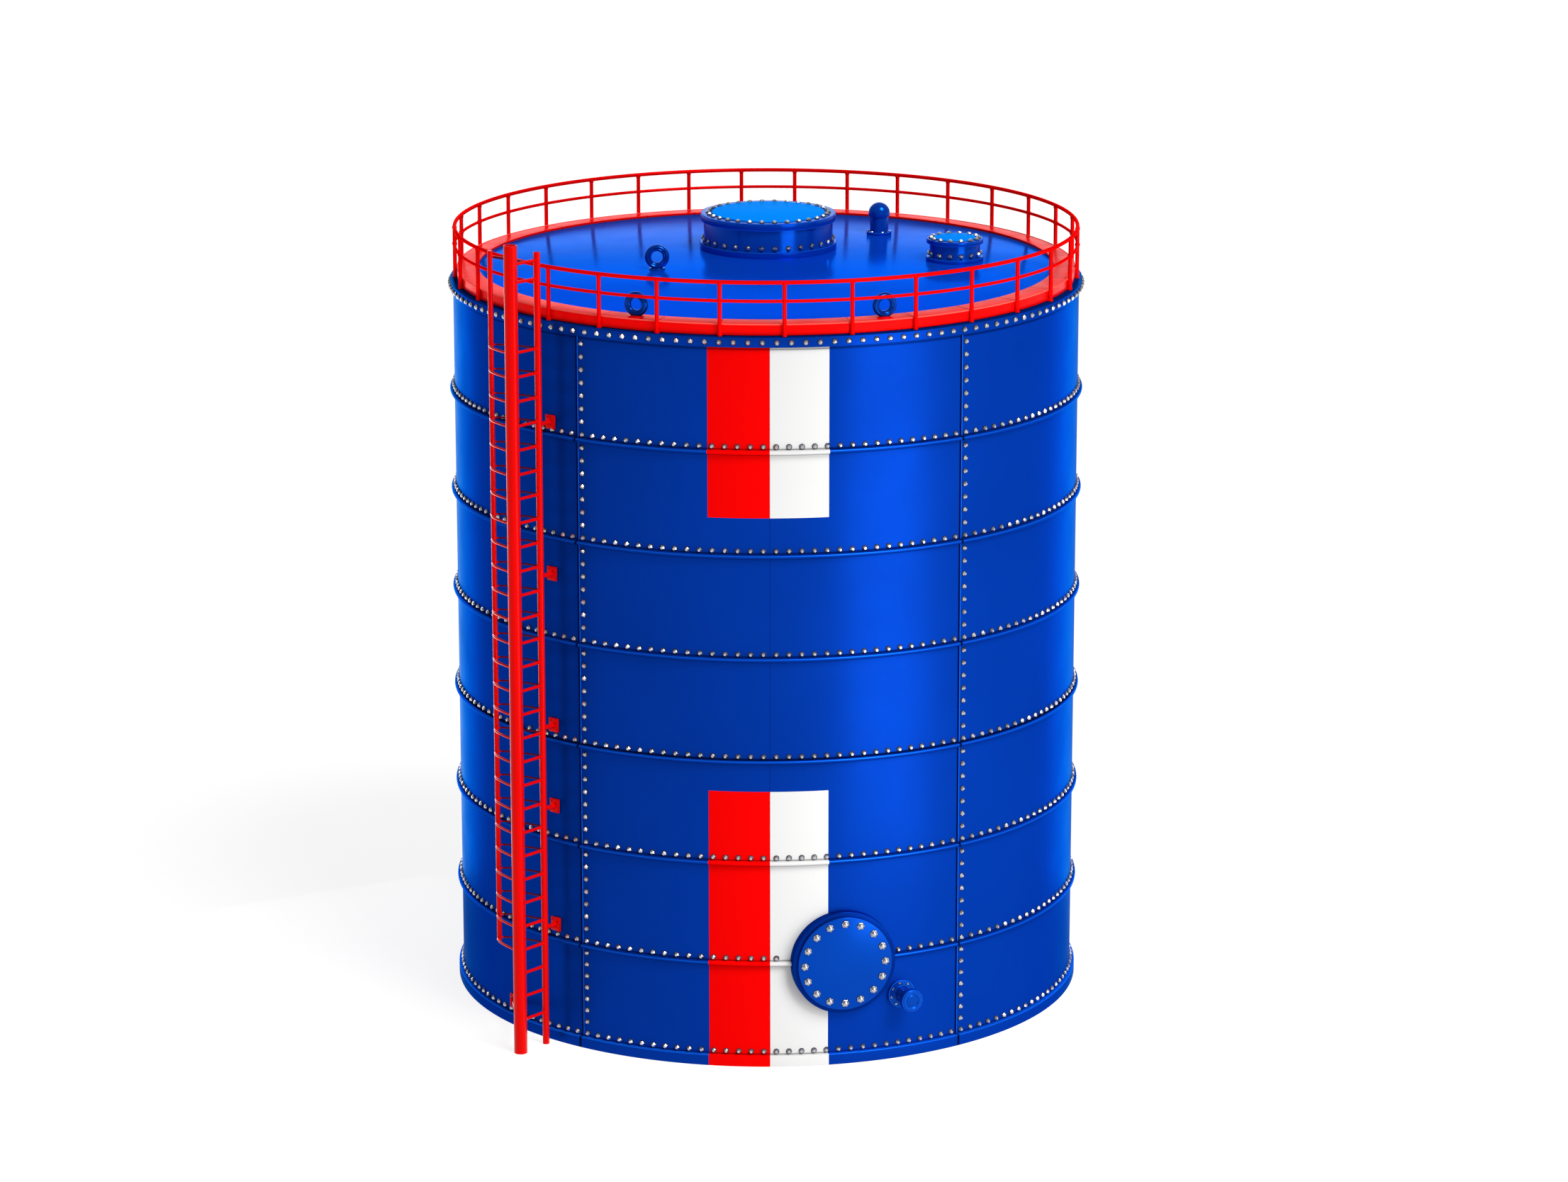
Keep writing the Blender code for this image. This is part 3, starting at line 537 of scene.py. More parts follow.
def ring_highlight(tree, up):
    """A painted highlight: the lighter line along each course ring and along the base flange's top edge."""
    shell = settings("tank_shell")
    low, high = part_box("course_ring_1")
    core = (low.z - high.z) / 2.0
    line = ring_gap(tree, maths(tree, "SUBTRACT", up, shell.highlight_rise))
    bright = mapped(tree, line, 1.0, 0.0, core, core + shell.crest)
    on_rings = maths(tree, "MULTIPLY", bright, between_flanges(tree, up))
    flange_top = high_of("base_flange").z
    return maths(tree, "MAXIMUM", on_rings, between(tree, up, flange_top - shell.crest, flange_top + SEAT))


def striped_paint(name):
    """The shell's blue with the red and white stripes, placed by azimuth and height, with painted highlights
    along the rings and painted shade in the corners and beside the seams.
    """
    paint = settings("tank_paint")
    seam = settings("tank_shell").first_seam
    metallic = 0.45
    material, tree, shader, place = new_material(name)
    unevenness = noise(tree, place, scale=1.7, detail=3.0)
    across, along, up = add_node(tree, "ShaderNodeSeparateXYZ", {"Vector": place})
    azimuth = maths(tree, "ARCTAN2", across, maths(tree, "MULTIPLY", along, -1.0))
    upper = maths(tree, "GREATER_THAN", up, paint.upper_foot)
    striped = maths(tree, "MAXIMUM", upper, maths(tree, "LESS_THAN", up, paint.lower_top))
    red = maths(tree, "MULTIPLY", striped, between(tree, azimuth, paint.red_from, seam))
    white = maths(tree, "MULTIPLY", striped, between(tree, azimuth, seam, paint.white_to))
    bare = maths(tree, "SUBTRACT", 1.0, maths(tree, "ADD", red, white))
    plain = tinted(tree, place, paint.shell_blue, spread=0.06)
    # Painted highlight along the rings and the base flange's top edge
    coat = mixed(tree, ring_highlight(tree, up), plain, paint.crest_blue)
    for stripe, stripe_colour in ((red, paint.stripe_red), (white, paint.white)):
        coat = mixed(tree, stripe, coat, stripe_colour)
    # Painted shade: the paint goes towards black in the rings' and flanges' corners and beside the seams
    dark = maths(tree, "MAXIMUM", ring_corner_shade(tree, up), seam_side_shade(tree, azimuth))
    fill(tree, shader, {
        "Base Color": mixed(tree, dark, coat, (0.0, 0.0, 0.0)),
        "Metallic": maths(tree, "MULTIPLY", bare, metallic),
        "Roughness": mapped(tree, unevenness, low=0.30, high=0.38),
        "Specular IOR Level": 0.0,
        "Specular Tint": (*paint.sheen_blue, 1.0),
        "Normal": sheet_bump(tree, place, WAVES, PEEL),
    })
    return material


def cage_paint(name):
    """The ladder's red, with painted shade darkening the parts of the hoops between the upright and the
    shell.
    """
    ladder = settings("tank_ladder")
    fade = 0.020
    material = gloss_paint(name, *GLOSS_PAINTS["ladder_gloss_paint"])
    tree = material.node_tree
    shader = tree.nodes["Principled BSDF"]
    across, along, up = add_node(tree, "ShaderNodeSeparateXYZ", {"Vector": object_place(tree)})
    outward = at(ladder.azimuth, 1.0)
    parts = [maths(tree, "MULTIPLY", across, outward.x), maths(tree, "MULTIPLY", along, outward.y)]
    middle = (ladder.pole_radius + ladder.stile_radius) / 2.0 - ladder.bar_tube
    # Painted shade: darkens the hoops on the shell's side of the cage
    shaded_rear = mapped(tree, maths(tree, "ADD", *parts), 1.0, 0.0, middle - fade, middle)
    unshaded_red = shader.inputs["Base Color"].links[0].from_socket
    fill(tree, shader, {"Base Color": mixed(tree, shaded_rear, unshaded_red, settings("tank_paint").rear_shade_red)})
    return material


def bolt_steel(name):
    """Bright zinc-coated steel with fine turning marks and uneven polish."""
    material, tree, shader, place = new_material(name)
    polish = noise(tree, place, scale=30.0, detail=3.0)
    fill(tree, shader, {
        "Base Color": tinted(tree, place, settings("tank_paint").steel, spread=0.12),
        "Metallic": 1.0,
        "Roughness": mapped(tree, polish, low=0.18, high=0.30),
        "Normal": sheet_bump(tree, place, waves=0.0, peel=0.0006),
    })
    return material


MIXED_FINISHES = {
    "striped_shell_paint": striped_paint,
    "cage_gloss_paint": cage_paint,
    "bright_bolt_steel": bolt_steel,
}


def finish(name):
    """The material of a finish, made the first time it is asked for."""
    if name in bpy.data.materials:
        return bpy.data.materials[name]
    if name in MIXED_FINISHES:
        return MIXED_FINISHES[name](name)
    return gloss_paint(name, *GLOSS_PAINTS[name])


# Shapes


def swept(shape, profile, start=0.0, sweep=math.tau, steps=TANK_STEPS):
    """Sweeps a profile of (radius, height) points about +Z, with end faces where it stops short of a turn.

    A profile that starts on the axis is left open there, because the axis closes it.
    """
    whole = sweep > math.tau - 1e-6
    closed = profile[0][0] > 0.0
    rows = []
    for k in range(steps if whole else steps + 1):
        turn = start + sweep * k / steps
        rows.append([shape.verts.new(at(turn, radius, height)) for radius, height in profile])
    if whole:
        rows.append(rows[0])
    points = len(profile)
    for row, following in zip(rows, rows[1:]):
        for i in range(points if closed else points - 1):
            j = (i + 1) % points
            shape.faces.new((row[i], following[i], following[j], row[j]))
    if not whole:
        shape.faces.new(rows[0])
        shape.faces.new(list(reversed(rows[-1])))


def oblong(inner, outer, low, high):
    """A rectangular profile between two radii and two heights."""
    return [(inner, low), (outer, low), (outer, high), (inner, high)]


def eased(profile, radius):
    """Rounds a profile's corners. A corner on the axis stays as it is."""
    points = [Vector(corner) for corner in profile]
    rounded = []
    for k, corner in enumerate(points):
        before = points[k - 1] - corner
        after = points[(k + 1) % len(points)] - corner
        reach = min(radius, before.length * 0.45, after.length * 0.45)
        if corner.x == 0.0 or reach < 1e-5:
            rounded.append(tuple(corner))
            continue
        first = corner + before.normalized() * reach
        last = corner + after.normalized() * reach
        for i in range(EASE_STEPS + 1):
            t = i / EASE_STEPS
            rounded.append(tuple(first.lerp(corner, t).lerp(corner.lerp(last, t), t)))
    return rounded


def add_shape(shape, part, matrix=None):
    """Moves a part's faces into a shape, and puts them in their place there."""
    bmesh.ops.remove_doubles(part, verts=part.verts, dist=1e-6)
    bmesh.ops.recalc_face_normals(part, faces=part.faces)
    mesh = as_mesh(part, "part")
    if matrix:
        mesh.transform(matrix)
    shape.from_mesh(mesh)
    bpy.data.meshes.remove(mesh)


def add_swept(shape, profile, matrix=None, **sweep):
    """Sweeps a profile into a shape."""
    part = bmesh.new()
    swept(part, profile, **sweep)
    add_shape(shape, part, matrix)


def add_bar(shape, start, end, radius, sides=BAR_SIDES, ease=0.0):
    """A round bar between two points, with eased ends."""
    run = end - start
    profile = eased(oblong(0.0, radius, 0.0, run.length), ease)
    turn = run.to_track_quat("Z", "Y").to_matrix().to_4x4()
    add_swept(shape, profile, Matrix.Translation(start) @ turn, steps=sides)


def add_block(shape, size, matrix, ease):
    """A block with eased edges."""
    part = bmesh.new()
    bmesh.ops.create_cube(part, size=1.0)
    bmesh.ops.scale(part, vec=size, verts=part.verts)
    bmesh.ops.bevel(
        part, geom=part.edges[:], offset=ease, segments=2, profile=0.5, affect="EDGES", clamp_overlap=True
    )
    add_shape(shape, part, matrix)


def add_path(shape, points, radius, sides):
    """A round bar along a run of points, with its ends closed."""
    part = bmesh.new()
    rows = []
    side = (points[1] - points[0]).cross(Vector((0.0, 0.0, 1.0))).normalized()
    turns = [math.tau * i / sides for i in range(sides)]
    for k, place in enumerate(points):
        run = (points[min(k + 1, len(points) - 1)] - points[max(k - 1, 0)]).normalized()
        side = (side - run * side.dot(run)).normalized()
        other = run.cross(side)
        ways = [side * math.cos(t) + other * math.sin(t) for t in turns]
        rows.append([part.verts.new(place + way * radius) for way in ways])
    for row, following in zip(rows, rows[1:]):
        for i in range(sides):
            j = (i + 1) % sides
            part.faces.new((row[i], row[j], following[j], following[i]))
    part.faces.new(list(reversed(rows[0])))
    part.faces.new(rows[-1])
    add_shape(shape, part)


def round_section(radius, height, tube, sides=BAR_SIDES):
    turns = [math.tau * (k + 0.5) / sides for k in range(sides)]
    return [(radius + tube * math.cos(t), height + tube * math.sin(t)) for t in turns]


def add_highlight_bead(shape, radius, height, matrix):
    """A bead on a round corner, painted as a highlight line there."""
    inset = 0.004
    tube = 0.005
    add_swept(shape, round_section(radius - inset, height, tube, BEAD_SIDES), matrix, steps=FITTING_STEPS)


def as_mesh(shape, name):
    mesh = bpy.data.meshes.new(name)
    shape.to_mesh(mesh)
    shape.free()
    return mesh


def turned(profile, matrix=None, **sweep):
    """A mesh of one profile swept about +Z."""
    shape = bmesh.new()
    add_swept(shape, profile, matrix, **sweep)
    return as_mesh(shape, "turned")


def add_piece(name, shape, material, replaced=(), smooth=SMOOTH_ANGLE):
    """A finished piece at the origin: smooth shaded, on the tank's body, standing for the solids it names."""
    mesh = as_mesh(shape, name) if isinstance(shape, bmesh.types.BMesh) else shape
    mesh.name = name
    mesh.materials.clear()
    mesh.materials.append(finish(material))
    mesh.shade_smooth()
    mesh.set_sharp_from_angle(angle=smooth)
    piece = add_object(name, mesh)
    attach(piece, "root")
    if replaced:
        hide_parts(*replaced)


def add_object(name, data):
    thing = bpy.data.objects.new(name, data)
    bpy.context.scene.collection.objects.link(thing)
    return thing


def cut_holes(mesh, tools):
    """Cuts closed shapes out of a closed mesh."""
    base = add_object("base", mesh)
    cutters = [add_object("cutter", tool) for tool in tools]
    for cutter in cutters:
        boolean = base.modifiers.new("hole", "BOOLEAN")
        boolean.operation = "DIFFERENCE"
        boolean.solver = "EXACT"
        boolean.object = cutter
    result = evaluated_mesh(base)
    for thing in [*cutters, base]:
        bpy.data.objects.remove(thing, do_unlink=True)
    return result


def evaluated_mesh(thing):
    bpy.context.view_layer.update()
    graph = bpy.context.evaluated_depsgraph_get()
    return bpy.data.meshes.new_from_object(thing.evaluated_get(graph))


# Geometry Nodes tree that repeats one piece round an axis and up it


REPEAT_INPUTS = (
    ("Piece", "NodeSocketObject", None),
    ("Count", "NodeSocketInt", 1),
    ("First Azimuth", "NodeSocketFloat", 0.0),
    ("Pitch", "NodeSocketFloat", 0.0),
    ("Radius", "NodeSocketFloat", 0.0),
    ("Height", "NodeSocketFloat", 0.0),
    ("Rise", "NodeSocketFloat", 0.0),
    ("Lean", "NodeSocketFloat", 0.0),
    ("Spin", "NodeSocketFloat", 0.0),
    ("Seed", "NodeSocketInt", 7),
    ("Gap Azimuth", "NodeSocketFloat", 0.0),
    ("Gap Half", "NodeSocketFloat", -1.0),
    ("Place", "NodeSocketVector", (0.0, 0.0, 0.0)),
    ("Turn", "NodeSocketVector", (0.0, 0.0, 0.0)),
    ("Finish", "NodeSocketMaterial", None),
)


def repeat_tree():
    """Builds the tree once: points on a ring or a row, one copy of the piece on each, then the finish."""
    name = "repeat_round_axis"
    if name in bpy.data.node_groups:
        return bpy.data.node_groups[name]
    tree = bpy.data.node_groups.new(name, "GeometryNodeTree")
    for way in ("INPUT", "OUTPUT"):
        tree.interface.new_socket("Geometry", in_out=way, socket_type="NodeSocketGeometry")
    for label, kind, default in REPEAT_INPUTS:
        socket = tree.interface.new_socket(label, in_out="INPUT", socket_type=kind)
        if default is not None:
            socket.default_value = default
    given = add_node(tree, "NodeGroupInput", {})
    index = add_node(tree, "GeometryNodeInputIndex", {})[0]
    turn = maths(tree, "MULTIPLY_ADD", index, given["Pitch"], given["First Azimuth"])
    across = maths(tree, "MULTIPLY", maths(tree, "SINE", turn), given["Radius"])
    forward = maths(tree, "MULTIPLY", maths(tree, "COSINE", turn), given["Radius"])
    along = maths(tree, "MULTIPLY", forward, -1.0)
    up = maths(tree, "MULTIPLY_ADD", index, given["Rise"], given["Height"])
    away = maths(tree, "ABSOLUTE", maths(tree, "SUBTRACT", turn, given["Gap Azimuth"]))
    points = add_node(tree, "GeometryNodePoints", {
        "Count": given["Count"], "Position": vector(tree, across, along, up),
    })
    copies = add_node(tree, "GeometryNodeInstanceOnPoints", {
        "Points": points[0],
        "Selection": maths(tree, "GREATER_THAN", away, given["Gap Half"]),
        "Instance": add_node(tree, "GeometryNodeObjectInfo", {"Object": given["Piece"]})["Geometry"],
        "Rotation": rotation(tree, vector(tree, given["Lean"], 0.0, turn)),
    })
    # Input 3 and output 1 are the random node's own highest number and its number
    chance = add_node(tree, "FunctionNodeRandomValue", {3: given["Spin"], "Seed": given["Seed"]})[1]
    spun = add_node(tree, "GeometryNodeRotateInstances", {
        "Instances": copies[0], "Rotation": rotation(tree, vector(tree, 0.0, 0.0, chance)),
    })
    moved = add_node(tree, "GeometryNodeTransform", {
        "Geometry": spun[0], "Translation": given["Place"], "Rotation": rotation(tree, given["Turn"]),
    })
    real = add_node(tree, "GeometryNodeRealizeInstances", {"Geometry": moved[0]})
    painted = add_node(tree, "GeometryNodeSetMaterial", {"Geometry": real[0], "Material": given["Finish"]})
    add_node(tree, "NodeGroupOutput", {0: painted[0]})
    return tree


def repeated(template, rows, material):
    """One mesh of a template's copies. Each row gives values for the tree's named inputs."""
    tree = repeat_tree()
    keys = {item.name: item.identifier for item in tree.interface.items_tree if item.in_out == "INPUT"}
    pattern = add_object("pattern", template)
    carrier = add_object("carrier", bpy.data.meshes.new("carrier"))
    whole = bmesh.new()
    for row in rows:
        modifier = carrier.modifiers.new("repeat", "NODES")
        modifier.node_group = tree
        for label, value in {"Piece": pattern, "Finish": finish(material), **row}.items():
            modifier[keys[label]] = value
        mesh = evaluated_mesh(carrier)
        whole.from_mesh(mesh)
        bpy.data.meshes.remove(mesh)
        carrier.modifiers.remove(modifier)
    for thing in (pattern, carrier):
        bpy.data.objects.remove(thing, do_unlink=True)
    return as_mesh(whole, "repeated")


# Shell


def seam_azimuths():
    """Azimuths of the bolted seams."""
    shell = settings("tank_shell")
    first = shell.first_seam + shell.seam_pitch / 2.0
    return [first + k * shell.seam_pitch for k in range(round(math.tau / shell.seam_pitch))]


def ring_lengths(gap_width):
    """Starts and sweeps of a ring's lengths between the bolted seams."""
    shell = settings("tank_shell")
    trim = gap_width / 2.0 / shell_radius()
    return [(azimuth + trim, shell.seam_pitch - 2.0 * trim) for azimuth in seam_azimuths()]


class TANK_OT_shell(bpy.types.Operator):
    """Rolls the shell plates smooth, with the manhole and nozzle cut through"""
    bl_idname = "tank.shell"
    bl_label = "Shell plates"

    def execute(self, context):
        shell = settings("tank_shell")
        fittings = settings("tank_fittings")
        outer = shell_radius()
        inner = outer - shell.wall
        half_groove = shell.groove / 2.0 / outer
        start = shell.first_seam
        for number in range(1, PLATES + 1):
            node = f"shell_plate_{number}"
            low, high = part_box(node)
            sweep = shell.seam_pitch / (2.0 if number in (1, PLATES) else 1.0)
            first_trim = half_groove if number == 1 else 0.0
            last_trim = half_groove if number == PLATES else 0.0
            mesh = turned(
                oblong(inner, outer, low.z, high.z), start=start + first_trim,
                sweep=sweep - first_trim - last_trim, steps=round(math.degrees(sweep)),
            )
            if number == 1:
                mesh = cut_holes(mesh, [
                    self.cutter(fittings.manhole_azimuth, fittings.manhole_height, MANHOLE_BORE),
                    self.cutter(fittings.nozzle_azimuth, fittings.nozzle_height, NOZZLE_BORE),
                ])
            add_piece(f"plate_{number}", mesh, "striped_shell_paint", [node])
            start += sweep
        return {"FINISHED"}

    def cutter(self, azimuth, height, radius):
        """A bar through the shell, as wide as the hole."""
        reach = 0.3
        start = at(azimuth, shell_radius() - reach, height)
        end = at(azimuth, shell_radius() + reach, height)
        tool = bmesh.new()
        add_bar(tool, start, end, radius, DOME_STEPS)
        return as_mesh(tool, "cutter")


class TANK_OT_seams(bpy.types.Operator):
    """Lays a dark bead of painted shade and a raised edge painted as a highlight along each bolted seam, and
    a backing strip behind the front joint
    """
    bl_idname = "tank.seams"
    bl_label = "Plate seams"

    def execute(self, context):
        shell = settings("tank_shell")
        outer = shell_radius()
        low = high_of("base_flange").z
        high = low_of("top_flange").z
        heights = [low, *(middle_of(f"course_ring_{k}").z for k in RINGS), high]
        # Up each seam: a dark bead of painted shade, and beside it a raised edge painted as a highlight
        for name, step, radius, material in (
            ("seam_sealant", 0.0, shell.sealant, "dark_sealant"),
            ("seam_laps", shell.lap_step, shell.lap_edge, "seam_edge_paint"),
        ):
            lines = bmesh.new()
            for seam in seam_azimuths():
                for foot, head in zip(heights, heights[1:]):
                    add_bar(lines, at(seam + step, outer, foot), at(seam + step, outer, head), radius)
            add_piece(name, lines, material)
        width = 0.080
        depth = 0.008
        place = Matrix.Translation(at(shell.first_seam, outer - shell.wall, (low + high) / 2.0))
        turn = Matrix.Rotation(shell.first_seam, 4, "Z")
        strip = bmesh.new()
        add_block(strip, (width, depth, high - low), place @ turn, ease=0.002)
        add_piece("front_joint_strip", strip, "striped_shell_paint")
        return {"FINISHED"}


class TANK_OT_rings(bpy.types.Operator):
    """Bends the course rings, the base flange and the top flange, each in lengths between the seams"""
    bl_idname = "tank.rings"
    bl_label = "Rings and flanges"

    def execute(self, context):
        shell = settings("tank_shell")
        back = shell_radius() - SEAT
        for number in RINGS:
            node = f"course_ring_{number}"
            low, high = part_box(node)
            profile = self.half_round(back, -low.y, low.z, high.z)
            self.add_ring(f"bead_{number}", profile, self.clear_lengths(number), node)
        lengths = ring_lengths(shell.ring_gap / 2.0)
        low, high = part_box("base_flange")
        foot = eased(oblong(back, -low.y, low_of("bottom_plate").z, high.z), shell.edge)
        self.add_ring("foot_flange", foot, lengths, "base_flange")
        low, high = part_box("top_flange")
        thickness = 0.030
        leg = high.z - thickness
        face = round(high.x, 3)
        inner = shell.flange_inner
        head = eased([
            (inner, leg), (back, leg), (back, low.z), (face, low.z), (face, high.z), (inner, high.z),
        ], shell.edge)
        self.add_ring("head_flange", head, lengths, "top_flange", "flange_gloss_paint")
        return {"FINISHED"}

    def half_round(self, back, outer, low, high):
        """Section of a course ring."""
        middle = (low + high) / 2.0
        half = (high - low) / 2.0
        straight = outer - half
        arc = [math.pi * (k / 10.0 - 0.5) for k in range(11)]
        nose = [(straight + half * math.cos(t), middle + half * math.sin(t)) for t in arc]
        return [(back, low), *nose, (back, high)]

    def clear_lengths(self, number):
        """A ring's lengths, with the lowest one parted at the manhole's collar."""
        fittings = settings("tank_fittings")
        lengths = ring_lengths(settings("tank_shell").ring_gap)
        if number > 1:
            return lengths
        overlap = 0.01
        half = math.asin((fittings.manhole_collar - overlap) / shell_radius())
        right = fittings.manhole_azimuth + half
        left = fittings.manhole_azimuth - half
        start, sweep = lengths[-1]
        start -= math.tau
        return lengths[:-1] + [(start, left - start), (right, start + sweep - right)]

    def add_ring(self, name, profile, lengths, node, material="striped_shell_paint"):
        ring = bmesh.new()
        for start, sweep in lengths:
            steps = max(2, round(TANK_STEPS * sweep / math.tau))
            add_swept(ring, profile, start=start, sweep=sweep, steps=steps)
        add_piece(name, ring, material, [node])


# Roof and walkway


class TANK_OT_roof(bpy.types.Operator):
    """Makes the roof pan round and smooth, and finishes the bottom plate"""
    bl_idname = "tank.roof"
    bl_label = "Roof and bottom"

    def execute(self, context):
        low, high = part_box("roof")
        sheet = 0.012
        curb = 0.020
        radius = round(high.x, 3)
        under = high.z - sheet
        inner = radius - curb
        pan = eased([
            (0.0, under), (inner, under), (inner, low.z), (radius, low.z), (radius, high.z), (0.0, high.z),
        ], radius=0.004)
        add_piece("roof_pan", turned(pan), "roof_gloss_paint", ["roof"])
        low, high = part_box("bottom_plate")
        floor = eased(oblong(0.0, shell_radius() - SEAT, low.z, high.z), radius=0.003)
        add_piece("floor_plate", turned(floor), "striped_shell_paint", ["bottom_plate"])
        return {"FINISHED"}


def post_rows():
    """First azimuth, count and pitch of each group of bays."""
    rails = settings("tank_rails")
    groups = [
        (rails.front_bays, rails.front_bay),
        (rails.right_bays, rails.right_bay),
        (rails.rear_bays, rails.rear_bay),
    ]
    rest = math.tau - sum(bays * pitch for bays, pitch in groups)
    groups.append((rails.left_bays, rest / rails.left_bays))
    rows = []
    first = rails.first_post
    for bays, pitch in groups:
        rows.append((first, bays, pitch))
        first += bays * pitch
    return rows


class TANK_OT_walkway(bpy.types.Operator):
    """Bends one deck plate for each bay, with its inner lip, and a fascia notched at each post"""
    bl_idname = "tank.walkway"
    bl_label = "Walkway"

    def execute(self, context):
        rails = settings("tank_rails")
        setback = 0.0283
        half_joint = 0.005
        inset = 0.004
        bead = 0.009
        outer = rails.radius - setback
        joint = half_joint / outer
        notch = rails.notch / 2.0 / outer
        # A bead along the deck's outer edge, painted as a highlight line
        edge = round_section(outer - inset, rails.outer_top - inset, bead, BEAD_SIDES)
        walkway = bmesh.new()
        edges = bmesh.new()
        parts = (
            (walkway, self.deck_profile(outer), joint),
            (walkway, self.fascia_profile(outer), notch),
            (edges, edge, joint),
        )
        for first, bays, pitch in post_rows():
            steps = round(math.degrees(pitch))
            for k in range(bays):
                start = first + k * pitch
                for shape, profile, trim in parts:
                    add_swept(shape, profile, start=start + trim, sweep=pitch - 2.0 * trim, steps=steps)
        nodes = [f"walkway_{k}" for k in range(1, 5)]
        add_piece("walkway_plates", walkway, "deck_gloss_paint", nodes)
        add_piece("walkway_edges", edges, "rubbed_edge_paint")
        return {"FINISHED"}

    def deck_profile(self, outer):
        """Section of the deck, which falls outwards, with a lip down to the roof and a nose at its edge."""
        rails = settings("tank_rails")
        foot = high_of("roof").z
        inner = rails.inner_radius
        lip = inner + rails.sheet
        fall = Vector((outer - inner, rails.outer_top - rails.inner_top)).normalized()
        under = Vector((outer, rails.outer_top)) + Vector((fall.y, -fall.x)) * rails.sheet
        nose = rails.outer_top - 0.030
        back = outer - rails.sheet
        return eased([
            (outer, nose), (outer, rails.outer_top), (inner, rails.inner_top), (inner, foot), (lip, foot),
            (lip, rails.inner_top - rails.sheet), (back, under.y), (back, nose),
        ], radius=0.006)

    def fascia_profile(self, outer):
        """Section of the fascia, just inside the deck's edge and under it."""
        rails = settings("tank_rails")
        back = outer - 0.018
        face = outer - 0.001
        top = rails.outer_top - 0.012
        return eased(oblong(back, face, rails.fascia_foot, top), radius=0.004)


class TANK_OT_railing(bpy.types.Operator):
    """Bends the two rails and stands the posts, with a weld at each crossing"""
    bl_idname = "tank.railing"
    bl_label = "Railing"

    def execute(self, context):
        rails = settings("tank_rails")
        railing = bmesh.new()
        add_swept(railing, round_section(rails.radius, rails.top_height, rails.top_tube))
        add_swept(railing, round_section(rails.radius, rails.middle_height, rails.middle_tube, THIN_SIDES))
        posts = repeated(self.post(), [
            {"Count": bays, "First Azimuth": first, "Pitch": pitch, "Radius": rails.radius}
            for first, bays, pitch in post_rows()
        ], "red_gloss_paint")
        railing.from_mesh(posts)
        nodes = [f"railing_{k}" for k in range(1, 5)]
        add_piece("rails_and_posts", railing, "red_gloss_paint", nodes)
        return {"FINISHED"}

    def post(self):
        """A post about the origin's vertical, with welds round it at the rails and at its foot."""
        rails = settings("tank_rails")
        foot = high_of("top_flange").z
        tube = rails.post_tube
        top = rails.top_height
        crown = 0.008
        root = 0.026
        half = 0.030
        shape = bmesh.new()
        add_swept(shape, eased(oblong(0.0, tube, foot, top), radius=0.006), steps=BAR_SIDES)
        for height, spread in ((top - 0.022, 0.006), (rails.middle_height, 0.008), (foot + 0.012, 0.006)):
            half_weld = [(tube + spread, crown), (tube, root), (0.0, half)]
            weld = [(radius, height - rise) for radius, rise in reversed(half_weld)]
            weld += [(radius, height + rise) for radius, rise in half_weld]
            add_swept(shape, weld, steps=BAR_SIDES)
        return as_mesh(shape, "post")


# Ladder


def add_capped_tube(shape, azimuth, radius, tube, top):
    """A round upright whose top has a lip round a sunk cap."""
    bore = tube - tube * 0.16
    cap = top - tube * 0.30
    ease = tube * 0.06
    profile = eased([(0.0, 0.0), (tube, 0.0), (tube, top), (bore, top), (bore, cap), (0.0, cap)], ease)
    add_swept(shape, profile, Matrix.Translation(at(azimuth, radius)), steps=2 * BAR_SIDES)


